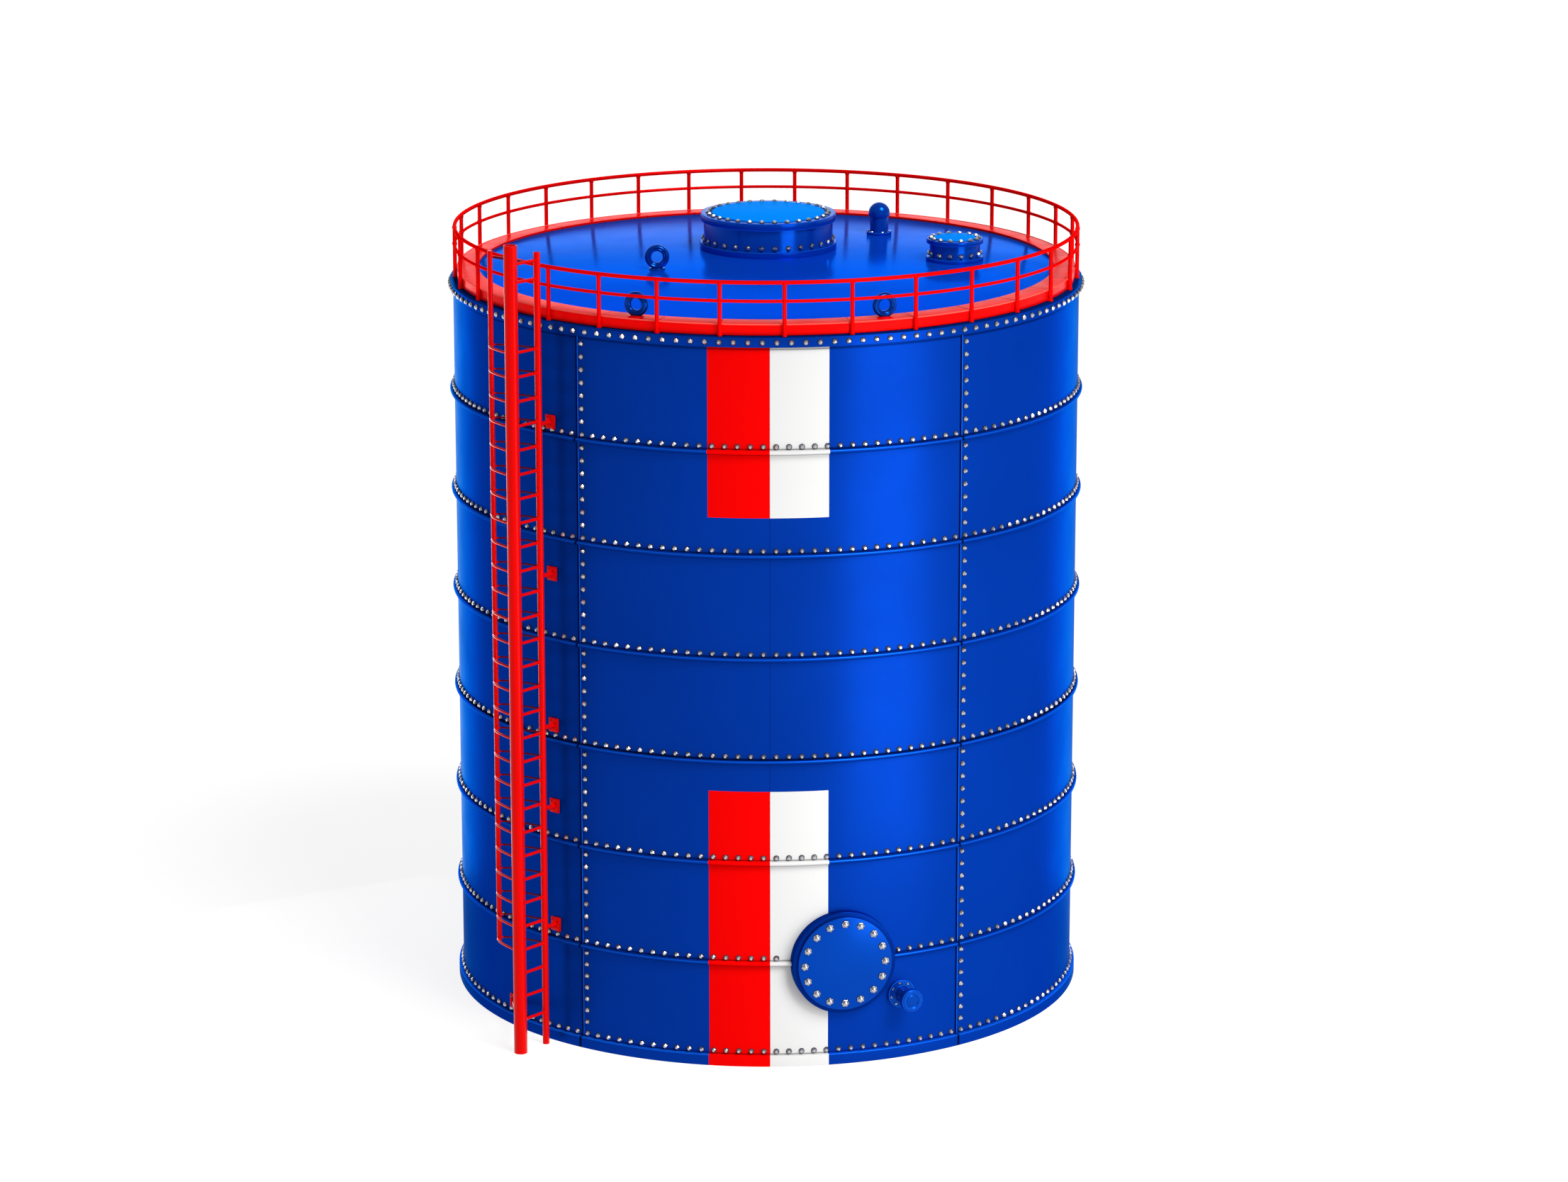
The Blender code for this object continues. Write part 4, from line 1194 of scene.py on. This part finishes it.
class TANK_OT_ladder(bpy.types.Operator):
    """Stands the ladder's pole and stile, and sets its rungs, ties, arms and plates"""
    bl_idname = "tank.ladder"
    bl_label = "Ladder"
    arm_heights = (1.640, 3.300, 4.420, 6.500, 8.550)
    arm_tube = 0.030

    def execute(self, context):
        ladder = settings("tank_ladder")
        rails = settings("tank_rails")
        top = high_of("ladder_pole").z
        pole = bmesh.new()
        add_capped_tube(pole, ladder.azimuth, ladder.pole_radius, ladder.pole_tube, top)
        self.add_arm(pole, ladder.pole_radius, ladder.foot_azimuth, ladder.foot_height, gap=0.027)
        add_piece("pole", pole, "ladder_gloss_paint", ["ladder_pole"])
        climb = bmesh.new()
        add_capped_tube(climb, ladder.azimuth, ladder.stile_radius, ladder.stile_tube, ladder.stile_top)
        for rail in (rails.middle_height, rails.top_height):
            height = rail + ladder.tie_rise
            outer = at(ladder.azimuth, ladder.pole_radius, height)
            inner = at(ladder.azimuth, ladder.stile_radius, height)
            add_bar(climb, outer, inner, ladder.rung_tube, THIN_SIDES)
        for height in self.arm_heights:
            self.add_arm(climb, ladder.stile_radius, ladder.azimuth, height, gap=0.015)
        row = {
            "Count": ladder.rungs, "First Azimuth": ladder.azimuth, "Radius": ladder.stile_radius,
            "Height": ladder.first_rung, "Rise": ladder.rung_pitch,
        }
        climb.from_mesh(repeated(self.rung(), [row], "ladder_gloss_paint"))
        nodes = [f"ladder_section_{k}" for k in range(1, 4)]
        add_piece("stile_and_rungs", climb, "ladder_gloss_paint", nodes)
        return {"FINISHED"}

    def rung(self):
        """A rung that runs out along -Y from the stile to the pole, with a weld at each end."""
        ladder = settings("tank_ladder")
        reach = ladder.pole_radius - ladder.stile_radius
        weld = ladder.rung_tube + 0.006
        shape = bmesh.new()
        add_bar(shape, Vector((0.0, 0.0, 0.0)), Vector((0.0, -reach, 0.0)), ladder.rung_tube, THIN_SIDES)
        for face, way in ((ladder.stile_tube, 1.0), (reach - ladder.pole_tube, -1.0)):
            start = Vector((0.0, -(face - way * 0.010), 0.0))
            end = Vector((0.0, -(face + way * 0.012), 0.0))
            add_bar(shape, start, end, weld, THIN_SIDES, ease=0.005)
        return as_mesh(shape, "rung")

    def add_arm(self, shape, radius, azimuth, height, gap):
        """An arm from one of the ladder's uprights to a bolted plate, where it ends a gap off the shell."""
        start = at(settings("tank_ladder").azimuth, radius, height)
        add_bar(shape, start, at(azimuth, shell_radius() + gap, height), self.arm_tube)
        self.add_plate(shape, azimuth, height)

    def add_plate(self, shape, azimuth, height):
        """An upright plate against the shell, with a rib and four small bolts."""
        plate_size = (0.160, 0.030, 0.190)
        rib_size = (0.016, 0.060, 0.120)
        head = 0.016
        rise = 0.012
        back = shell_radius()
        turn = Matrix.Rotation(azimuth, 4, "Z")
        # The middles of the plate and the rib and the bolts' feet, by how far they are out from the shell
        plate, rib, seat = (
            Matrix.Translation(at(azimuth, back + out, height)) @ turn for out in (0.0153, 0.050, 0.030)
        )
        add_block(shape, plate_size, plate, ease=0.006)
        add_block(shape, rib_size, rib, ease=0.004)
        profile = eased(oblong(0.0, head, 0.0, rise), radius=0.003)
        for across in (-0.055, 0.055):
            for up in (-0.065, 0.065):
                spot = seat @ Matrix.Translation((across, 0.0, up)) @ Matrix.Rotation(QUARTER, 4, "X")
                add_swept(shape, profile, spot, steps=6)


class TANK_OT_cage(bpy.types.Operator):
    """Bends the cage's hoops and stands its upright"""
    bl_idname = "tank.cage"
    bl_label = "Ladder cage"
    hoop_steps = 24
    front_steps = 13
    hoop_sides = 10

    def execute(self, context):
        ladder = settings("tank_ladder")
        rails = settings("tank_rails")
        lowest = ladder.first_rung + ladder.first_hoop * ladder.rung_pitch
        row = {"Count": ladder.rungs - ladder.first_hoop, "Height": lowest, "Rise": ladder.rung_pitch}
        cage = bmesh.new()
        cage.from_mesh(repeated(self.hoop(), [row], "cage_gloss_paint"))
        crown = self.hoop_point(math.pi / 2.0)
        heights = (lowest - ladder.bar_tube, ladder.bar_tie, ladder.bar_top)
        foot, tie, top = (crown + Vector((0.0, 0.0, height)) for height in heights)
        add_bar(cage, foot, top, ladder.bar_tube, ease=0.008)
        azimuth = math.atan2(crown.x, -crown.y)
        add_bar(cage, tie, at(azimuth, rails.radius, rails.top_height), ladder.hoop_tube, THIN_SIDES)
        nodes = [f"cage_section_{k}" for k in range(1, 4)]
        add_piece("cage_bars", cage, "cage_gloss_paint", nodes)
        return {"FINISHED"}

    def hoop_point(self, turn):
        """A point on the hoop's half ellipse at height 0: it starts at the pole and ends at the stile."""
        ladder = settings("tank_ladder")
        middle = at(ladder.azimuth, (ladder.pole_radius + ladder.stile_radius) / 2.0)
        outward = at(ladder.azimuth, 1.0)
        sideways = at(ladder.azimuth - QUARTER, 1.0)
        half = (ladder.pole_radius - ladder.stile_radius) / 2.0
        reach = ladder.cage_depth * max(0.0, math.sin(turn)) ** ladder.hoop_peak
        return middle + outward * half * math.cos(turn) + sideways * reach

    def hoop(self):
        """A hoop at height 0, which gets thinner a little past the upright."""
        ladder = settings("tank_ladder")
        points = [self.hoop_point(math.pi * k / self.hoop_steps) for k in range(self.hoop_steps + 1)]
        shape = bmesh.new()
        add_path(shape, points[:self.front_steps + 1], ladder.hoop_tube, self.hoop_sides)
        add_path(shape, points[self.front_steps:], ladder.hoop_tube * ladder.rear_share, self.hoop_sides)
        return as_mesh(shape, "hoop")


# Fittings on the roof and the shell


def flanged_neck(node, reach, flange_height):
    """Section of an open pipe with a flange at its foot, which fills a neck's box."""
    low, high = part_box(node)
    outer = radius_of(node)
    neck = outer - reach
    bore = neck - settings("tank_fittings").neck_wall
    top = high.z - low.z
    return eased([
        (bore, 0.0), (outer, 0.0), (outer, flange_height), (neck, flange_height), (neck, top), (bore, top),
    ], radius=0.008)


def add_fitting(name, node, profile, material="fitting_gloss_paint", replaced=True):
    """A piece of a roof fitting, turned on the foot of its node."""
    mesh = turned(profile, foot_of(node), steps=FITTING_STEPS)
    add_piece(name, mesh, material, [node] if replaced else ())


class TANK_OT_roof_openings(bpy.types.Operator):
    """Makes the manway, the hatch and the vent"""
    bl_idname = "tank.roof_openings"
    bl_label = "Manway, hatch and vent"
    edge_drop = 0.004

    def execute(self, context):
        edges = bmesh.new()
        for name, sizes in OPENINGS.items():
            self.opening(edges, name, sizes["reach"], sizes["flange"], sizes["rim"], sizes["disc"])
        self.vent(edges)
        # Beads on the fittings' edges, painted as highlight lines
        add_piece("roof_fitting_edges", edges, "seam_edge_paint")
        return {"FINISHED"}

    def opening(self, edges, name, reach, flange, rim, disc):
        """A flanged neck and its cover: a rim with a shallow channel round a raised middle."""
        neck = f"{name}_neck"
        cover = f"{name}_cover"
        add_highlight_bead(edges, radius_of(neck), flange - self.edge_drop, foot_of(neck))
        for height in (self.edge_drop, rim - self.edge_drop):
            add_highlight_bead(edges, radius_of(cover), height, foot_of(cover))
        add_fitting(f"{name}_pipe", neck, flanged_neck(neck, reach, flange))
        radius = radius_of(cover)
        channel = disc + 0.012
        bed = rim - 0.008
        add_fitting(f"{name}_rim", cover, eased([
            (0.0, 0.0), (radius, 0.0), (radius, rim), (channel, rim), (channel, bed), (0.0, bed),
        ], radius=0.008))
        low = rim - 0.020
        top = high_of(cover).z - low_of(cover).z
        raised = eased(oblong(0.0, disc, low, top), radius=0.006)
        add_fitting(f"{name}_disc", cover, raised, "lid_gloss_paint", replaced=False)

    def vent(self, edges):
        """A flanged pipe under a domed cap that is open below."""
        add_highlight_bead(edges, radius_of("vent_pipe"), VENT_FLANGE - self.edge_drop, foot_of("vent_pipe"))
        add_fitting("vent_stack", "vent_pipe", flanged_neck("vent_pipe", VENT_REACH, VENT_FLANGE))
        low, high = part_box("vent_cap")
        radius = radius_of("vent_cap")
        skirt = high.z - low.z - radius
        bore = radius - 0.020
        ease = 0.003
        arc = [math.radians(6.0 * k) for k in range(15)]
        dome = [(radius * math.cos(t), skirt + radius * math.sin(t)) for t in arc]
        profile = [(0.0, skirt), (bore, skirt - 0.006), (bore, 0.0), (radius - ease, 0.0), (radius, ease)]
        cap = turned([*profile, *dome, (0.0, skirt + radius)], foot_of("vent_cap"), steps=DOME_STEPS)
        add_piece("vent_dome", cap, "fitting_gloss_paint", ["vent_cap"])


class TANK_OT_lifting_eyes(bpy.types.Operator):
    """Stands the three lifting eyes on their pads"""
    bl_idname = "tank.lifting_eyes"
    bl_label = "Lifting eyes"

    def execute(self, context):
        for number in (1, 2, 3):
            self.eye(number, on_roof=number == 1)
        return {"FINISHED"}

    def eye(self, number, on_roof):
        fittings = settings("tank_fittings")
        node = f"lifting_eye_{number}"
        low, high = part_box(node)
        spot = middle_of(node)
        azimuth = 0.0
        if not on_roof:
            azimuth = math.atan2(spot.x, -spot.y)
            spot = at(azimuth, fittings.eye_circle)
        centre = high.z - fittings.eye_ring - fittings.eye_bar
        face = Matrix.Rotation(azimuth, 4, "Z") @ Matrix.Rotation(QUARTER, 4, "X")
        place = Matrix.Translation((spot.x, spot.y, centre)) @ face
        ring = turned(self.section(), place, steps=DOME_STEPS)
        add_piece(f"eye_{number}", ring, "eye_gloss_paint", [node])
        foot = low.z - SEAT
        top = centre - fittings.eye_ring - fittings.eye_bar + 0.020
        shoulder = top - 0.006
        profile = eased([
            (0.0, foot), (0.110, foot), (0.104, shoulder), (0.050, top), (0.0, top),
        ], radius=0.004)
        pad = turned(profile, Matrix.Translation((spot.x, spot.y, 0.0)), steps=FITTING_STEPS // 2)
        if on_roof:
            add_piece(f"eye_pad_{number}", pad, "eye_gloss_paint")
        else:
            add_piece(f"eye_pad_{number}", pad, "deck_gloss_paint")

    def section(self):
        """A round bar with a groove round each face, so that it reads as two rings."""
        fittings = settings("tank_fittings")
        steps = 40
        groove = 0.012
        inset = 0.006
        half_width = 0.008
        points = []
        for k in range(steps):
            turn = math.tau * k / steps
            out = fittings.eye_bar * math.cos(turn)
            face = fittings.eye_bar * math.sin(turn)
            dip = groove * math.exp(-((out + inset) / half_width) ** 2)
            points.append((fittings.eye_ring + out, face - math.copysign(dip, face)))
        return points


class TANK_OT_shell_openings(bpy.types.Operator):
    """Makes the shell manhole and the blanked nozzle"""
    bl_idname = "tank.shell_openings"
    bl_label = "Manhole and nozzle"

    def execute(self, context):
        self.manhole()
        self.nozzle()
        return {"FINISHED"}

    def manhole(self):
        """A collar cut to the shell's curve behind, and a round cover."""
        fittings = settings("tank_fittings")
        outer = shell_radius()
        rim = fittings.manhole_collar
        radius = fittings.manhole_cover
        lid = fittings.manhole_lid
        depth = fittings.manhole_face - outer * math.cos(math.asin(rim / outer)) + SEAT
        face = facing_out(fittings.manhole_azimuth, fittings.manhole_face, fittings.manhole_height)
        edges = bmesh.new()
        for name, sizes, material, node in (
            ("manhole_ring", (MANHOLE_BORE, rim, -depth, 0.0), "collar_gloss_paint", "manhole_collar"),
            ("manhole_lid", (0.0, radius, 0.0, lid), "manhole_gloss_paint", "manhole_cover"),
        ):
            inner, widest, low, high = sizes
            mesh = turned(eased(oblong(inner, widest, low, high), radius=0.008), face, steps=MANHOLE_STEPS)
            add_piece(name, mesh, material, [node])
            # A bead painted as a highlight line round each outer edge
            add_highlight_bead(edges, widest - 0.002, high - 0.006, face)
        add_piece("manhole_edges", edges, "seam_edge_paint")

    def nozzle(self):
        """A pad on the shell, a short pipe with a lip, and a blank, all by distance from the tank's axis."""
        fittings = settings("tank_fittings")
        centre = facing_out(fittings.nozzle_azimuth, 0.0, fittings.nozzle_height)
        bore = NOZZLE_BORE
        pad = NOZZLE_PAD
        face = NOZZLE_PAD_FACE
        back = shell_radius() - 0.010
        pipe = 0.100
        lip = 0.125
        end = 4.550
        stub = [
            (bore, back), (pad, back), (pad, face), (pipe + 0.012, face), (pipe, face + 0.025),
            (pipe, end - 0.070), (lip, end - 0.060), (lip, end), (bore, end),
        ]
        low = end + 0.0003
        high = low + 0.095
        rim = 0.152
        well = high - 0.015
        knob = high - 0.009
        blank = [
            (0.0, low), (rim, low), (rim, high - 0.020), (rim - 0.012, high), (0.108, high), (0.095, well),
            (0.076, well), (0.070, knob), (0.0, knob),
        ]
        for name, profile, node in (
            ("nozzle_stub", stub, "nozzle_pipe"), ("nozzle_plug", blank, "nozzle_blank"),
        ):
            mesh = turned(eased(profile, radius=0.006), centre, steps=FITTING_STEPS)
            add_piece(name, mesh, "eye_gloss_paint", [node])
        # Beads painted as highlight lines on the pad's, the blank's and its well's edges
        edges = bmesh.new()
        for radius, height in (
            (pad - 0.001, face - 0.004), (rim - 0.003, high - 0.012), (0.115, high - 0.003),
        ):
            add_highlight_bead(edges, radius, height, centre)
        add_piece("nozzle_edges", edges, "seam_edge_paint")


# Bolts


def bolt_head(scale=1.0):
    """A domed hexagon head that stands on its washer, over z = 0."""
    bolts = settings("tank_bolts")
    head = bolts.head
    top = bolts.rise
    foot = bolts.washer_rise - SEAT
    profile = [(0.0, foot), (head, foot), (head, top * 0.40), (head * 0.52, top * 0.95), (0.0, top)]
    mesh = turned(profile, steps=6)
    mesh.transform(Matrix.Scale(scale, 4))
    return mesh


def sealing_washer(scale=1.0):
    """A rubber washer that seals the bolt's hole, on z = 0. Its dark colour also stands in as painted shade
    round the head.
    """
    bolts = settings("tank_bolts")
    washer = bolts.washer
    top = bolts.washer_rise
    profile = [(0.0, -SEAT), (washer, -SEAT), (washer, top * 0.5), (washer * 0.94, top), (0.0, top)]
    mesh = turned(profile, steps=12)
    mesh.transform(Matrix.Scale(scale, 4))
    return mesh


def cap_nut():
    """A hexagon and a domed cap, standing on z = 0."""
    corner = 0.052
    base = 0.014
    cap = 0.039
    height = 0.045
    ease = 0.005
    shape = bmesh.new()
    add_swept(shape, [
        (0.0, -SEAT), (corner, -SEAT), (corner, base - 0.004), (corner - ease, base), (0.0, base),
    ], steps=6)
    arc = [math.radians(15.0 * k) for k in range(1, 6)]
    dome = [(cap * math.cos(t), base + (height - base) * math.sin(t)) for t in arc]
    add_swept(shape, [(0.0, base - 0.001), (cap, base - 0.001), *dome, (0.0, height)], steps=20)
    return as_mesh(shape, "cap_nut")


def bolt_circle(number, radius, height, first=0.0, **more):
    """A row of evenly spaced bolts round an axis, each turned its own way."""
    return {
        "Count": number, "Pitch": math.tau / number, "Radius": radius, "Height": height,
        "First Azimuth": first, "Spin": math.tau, **more,
    }


def add_bolts(name, template, rows, material="bright_bolt_steel", smooth=FACET_ANGLE):
    """A piece of bolts or nuts, or of the washers under them."""
    add_piece(name, repeated(template, rows, material), material, smooth=smooth)


def add_washers(name, template, rows):
    add_bolts(name, template, rows, "washer_rubber", SMOOTH_ANGLE)


class TANK_OT_bolts(bpy.types.Operator):
    """Sets every bolt row with the repeating node tree"""
    bl_idname = "tank.bolts"
    bl_label = "Bolts"
    foot_rise = 0.045
    head_rise = 0.070

    def execute(self, context):
        for name, rows in (
            ("ring", self.ring_rows()), ("flange", self.flange_rows()), ("seam", self.seam_rows()),
            ("cover", self.cover_rows()),
        ):
            add_bolts(f"{name}_bolts", bolt_head(), rows)
            add_washers(f"{name}_washers", sealing_washer(), rows)
        add_bolts("small_bolts", bolt_head(0.55), self.small_rows())
        rows = self.manhole_rows()
        # Dark washers under the cap nuts, which also stand in as painted shade round them
        add_washers("manhole_washers", sealing_washer(1.35), rows)
        add_bolts("manhole_nuts", cap_nut(), rows)
        return {"FINISHED"}

    def levels(self):
        """Heights of the rows round the shell: the foot's first, and then one over each course ring."""
        offset = settings("tank_bolts").ring_offset
        rings = [middle_of(f"course_ring_{k}").z + offset for k in RINGS]
        return [high_of("base_flange").z + self.foot_rise, *rings]

    def ring_rows(self):
        """Rows over each course ring, the lowest one parted at the manhole, and one over the base flange."""
        bolts = settings("tank_bolts")
        fittings = settings("tank_fittings")
        outer = shell_radius()
        first = settings("tank_shell").first_seam - math.pi + math.pi / bolts.ring_count
        rows = [bolt_circle(bolts.ring_count, outer, level, first, Lean=QUARTER) for level in self.levels()]
        foot, *rings = rows
        for seed, row in enumerate(rings, 1):
            row["Seed"] = seed
        rings[0]["Gap Azimuth"] = fittings.manhole_azimuth
        rings[0]["Gap Half"] = math.asin((fittings.manhole_collar + bolts.washer) / outer)
        return [*rings, foot]

    def flange_rows(self):
        number = settings("tank_bolts").flange_count
        face = round(high_of("top_flange").x, 3)
        first = settings("tank_shell").first_seam + math.pi / number
        return [bolt_circle(number, face, middle_of("top_flange").z, first, Lean=QUARTER)]

    def seam_rows(self):
        """Rows of bolts up each course beside each bolted seam, between the rings' own bolts."""
        bolts = settings("tank_bolts")
        levels = [*self.levels(), low_of("top_flange").z + self.head_rise]
        rows = []
        for azimuth in seam_azimuths():
            for low, high in zip(levels, levels[1:]):
                rise = (high - low) / (bolts.seam_count + 1)
                rows.append({
                    "Count": bolts.seam_count, "First Azimuth": azimuth + bolts.seam_shift,
                    "Radius": shell_radius(), "Height": low + rise, "Rise": rise, "Lean": QUARTER,
                    "Spin": math.tau, "Seed": len(rows),
                })
        return rows

    def cover_rows(self):
        """Rows on the covers of the roof's openings, and round their necks over the flange."""
        bolts = settings("tank_bolts")
        rise = 0.046
        rows = []
        for (name, sizes), number in zip(OPENINGS.items(), (bolts.manway_count, bolts.hatch_count)):
            place = middle_of(f"{name}_cover")
            lid = low_of(f"{name}_cover").z + sizes["rim"]
            flange = low_of(f"{name}_neck").z + sizes["flange"]
            turn = {"first": math.pi / number, "Place": (place.x, place.y, 0.0)}
            rows.append(bolt_circle(number, sizes["cover_row"], lid, **turn))
            rows.append(bolt_circle(number, sizes["neck_row"], flange + rise, Lean=QUARTER, **turn))
        return rows

    def small_rows(self):
        """Rows on the vent's foot and the nozzle's pad."""
        bolts = settings("tank_bolts")
        fittings = settings("tank_fittings")
        place = middle_of("vent_pipe")
        flange = low_of("vent_pipe").z + VENT_FLANGE
        on_pad = self.facing(fittings.nozzle_azimuth, NOZZLE_PAD_FACE, fittings.nozzle_height)
        return [
            bolt_circle(bolts.vent_count, VENT_ROW, flange, first=0.3, Place=(place.x, place.y, 0.0)),
            bolt_circle(bolts.nozzle_count, NOZZLE_ROW, 0.0, first=0.2, **on_pad),
        ]

    def manhole_rows(self):
        fittings = settings("tank_fittings")
        top = fittings.manhole_face + fittings.manhole_lid
        on_lid = self.facing(fittings.manhole_azimuth, top, fittings.manhole_height)
        return [bolt_circle(settings("tank_bolts").manhole_count, fittings.manhole_circle, 0.0, **on_lid)]

    def facing(self, azimuth, radius, height):
        """The tree's inputs that turn a row to face straight out of the shell."""
        return {"Place": tuple(at(azimuth, radius, height)), "Turn": (QUARTER, 0.0, azimuth)}


# Stage


class TANK_OT_stage(bpy.types.Operator):
    """Lays the pale floor, hangs the lights and sets the camera"""
    bl_idname = "tank.stage"
    bl_label = "Floor, lights and camera"

    def execute(self, context):
        stage = settings("tank_stage")
        self.floor(stage)
        self.sky(stage)
        self.key_light(stage)
        for name, lamp in LAMPS.items():
            self.soft_box(name, *lamp)
        self.camera(stage)
        return {"FINISHED"}

    def floor(self, stage):
        shape = bmesh.new()
        bmesh.ops.create_circle(shape, cap_ends=True, segments=96, radius=stage.floor_radius)
        floor = add_object("floor", as_mesh(shape, "floor"))
        material = bpy.data.materials.new("pale_floor")
        material.use_nodes = True
        fill(material.node_tree, material.node_tree.nodes["Principled BSDF"], {
            "Base Color": (*[stage.floor_grey] * 3, 1.0),
            "Roughness": 0.9,
            "Specular IOR Level": 0.1,
            "Emission Color": (1.0, 1.0, 1.0, 1.0),
            "Emission Strength": stage.floor_glow,
        })
        floor.data.materials.append(material)

    def sky(self, stage):
        world = bpy.data.worlds.new("studio")
        world.use_nodes = True
        backdrop = world.node_tree.nodes["Background"]
        fill(world.node_tree, backdrop, {"Color": (1.0, 1.0, 1.0, 1.0), "Strength": stage.sky})
        bpy.context.scene.world = world
        bpy.context.scene.view_settings.view_transform = "Standard"

    def key_light(self, stage):
        light = bpy.data.lights.new("key_light", "SUN")
        light.energy = stage.key
        light.angle = stage.key_softness
        way = at(stage.key_azimuth, math.cos(stage.key_height), math.sin(stage.key_height))
        add_object("key_light", light).rotation_euler = way.to_track_quat("Z", "Y").to_euler()

    def soft_box(self, name, place, aim, width, height, power, gloss_only):
        """A soft box aimed at the tank, which the camera doesn't see."""
        light = bpy.data.lights.new(name, "AREA")
        light.shape = "RECTANGLE"
        light.size = width
        light.size_y = height
        light.energy = power
        lamp = add_object(name, light)
        self.look(lamp, place, aim)
        lamp.visible_camera = False
        lamp.visible_diffuse = not gloss_only

    def look(self, thing, place, aim):
        """Puts a lamp or a camera in its place and points its -Z at the aim."""
        thing.location = place
        thing.rotation_euler = (Vector(aim) - Vector(place)).to_track_quat("-Z", "Y").to_euler()

    def camera(self, stage):
        data = bpy.data.cameras.new("camera")
        data.lens = stage.lens
        data.sensor_width = 36.0
        data.clip_start = 1.0
        data.clip_end = 2000.0
        camera = add_object("camera", data)
        self.look(camera, stage.eye, stage.aim)
        bpy.context.scene.camera = camera


OPERATORS = (
    TANK_OT_stage,
    TANK_OT_shell,
    TANK_OT_seams,
    TANK_OT_rings,
    TANK_OT_roof,
    TANK_OT_walkway,
    TANK_OT_railing,
    TANK_OT_ladder,
    TANK_OT_cage,
    TANK_OT_roof_openings,
    TANK_OT_lifting_eyes,
    TANK_OT_shell_openings,
    TANK_OT_bolts,
)


class TANK_PT_panel(bpy.types.Panel):
    """Lists the tank's pieces and their sizes"""
    bl_idname = "TANK_PT_panel"
    bl_label = "Storage tank"
    bl_space_type = "VIEW_3D"
    bl_region_type = "UI"
    bl_category = "Tank"

    def draw(self, context):
        for operator in OPERATORS:
            self.layout.operator(operator.bl_idname)
        for name, group in SETTINGS.items():
            box = self.layout.box()
            box.label(text=group.__doc__)
            for key in group.__annotations__:
                box.prop(getattr(context.scene, name), key)


def register():
    for group in (*SETTINGS.values(), *OPERATORS, TANK_PT_panel):
        bpy.utils.register_class(group)
    for name, group in SETTINGS.items():
        setattr(bpy.types.Scene, name, PointerProperty(type=group))


def unregister():
    for name in SETTINGS:
        delattr(bpy.types.Scene, name)
    for group in (TANK_PT_panel, *reversed(OPERATORS), *reversed(SETTINGS.values())):
        bpy.utils.unregister_class(group)


def main():
    register()
    bpy.ops.tank.stage()
    bpy.ops.tank.shell()
    bpy.ops.tank.seams()
    bpy.ops.tank.rings()
    bpy.ops.tank.roof()
    bpy.ops.tank.walkway()
    bpy.ops.tank.railing()
    bpy.ops.tank.ladder()
    bpy.ops.tank.cage()
    bpy.ops.tank.roof_openings()
    bpy.ops.tank.lifting_eyes()
    bpy.ops.tank.shell_openings()
    bpy.ops.tank.bolts()


if __name__ == "__main__":
    main()
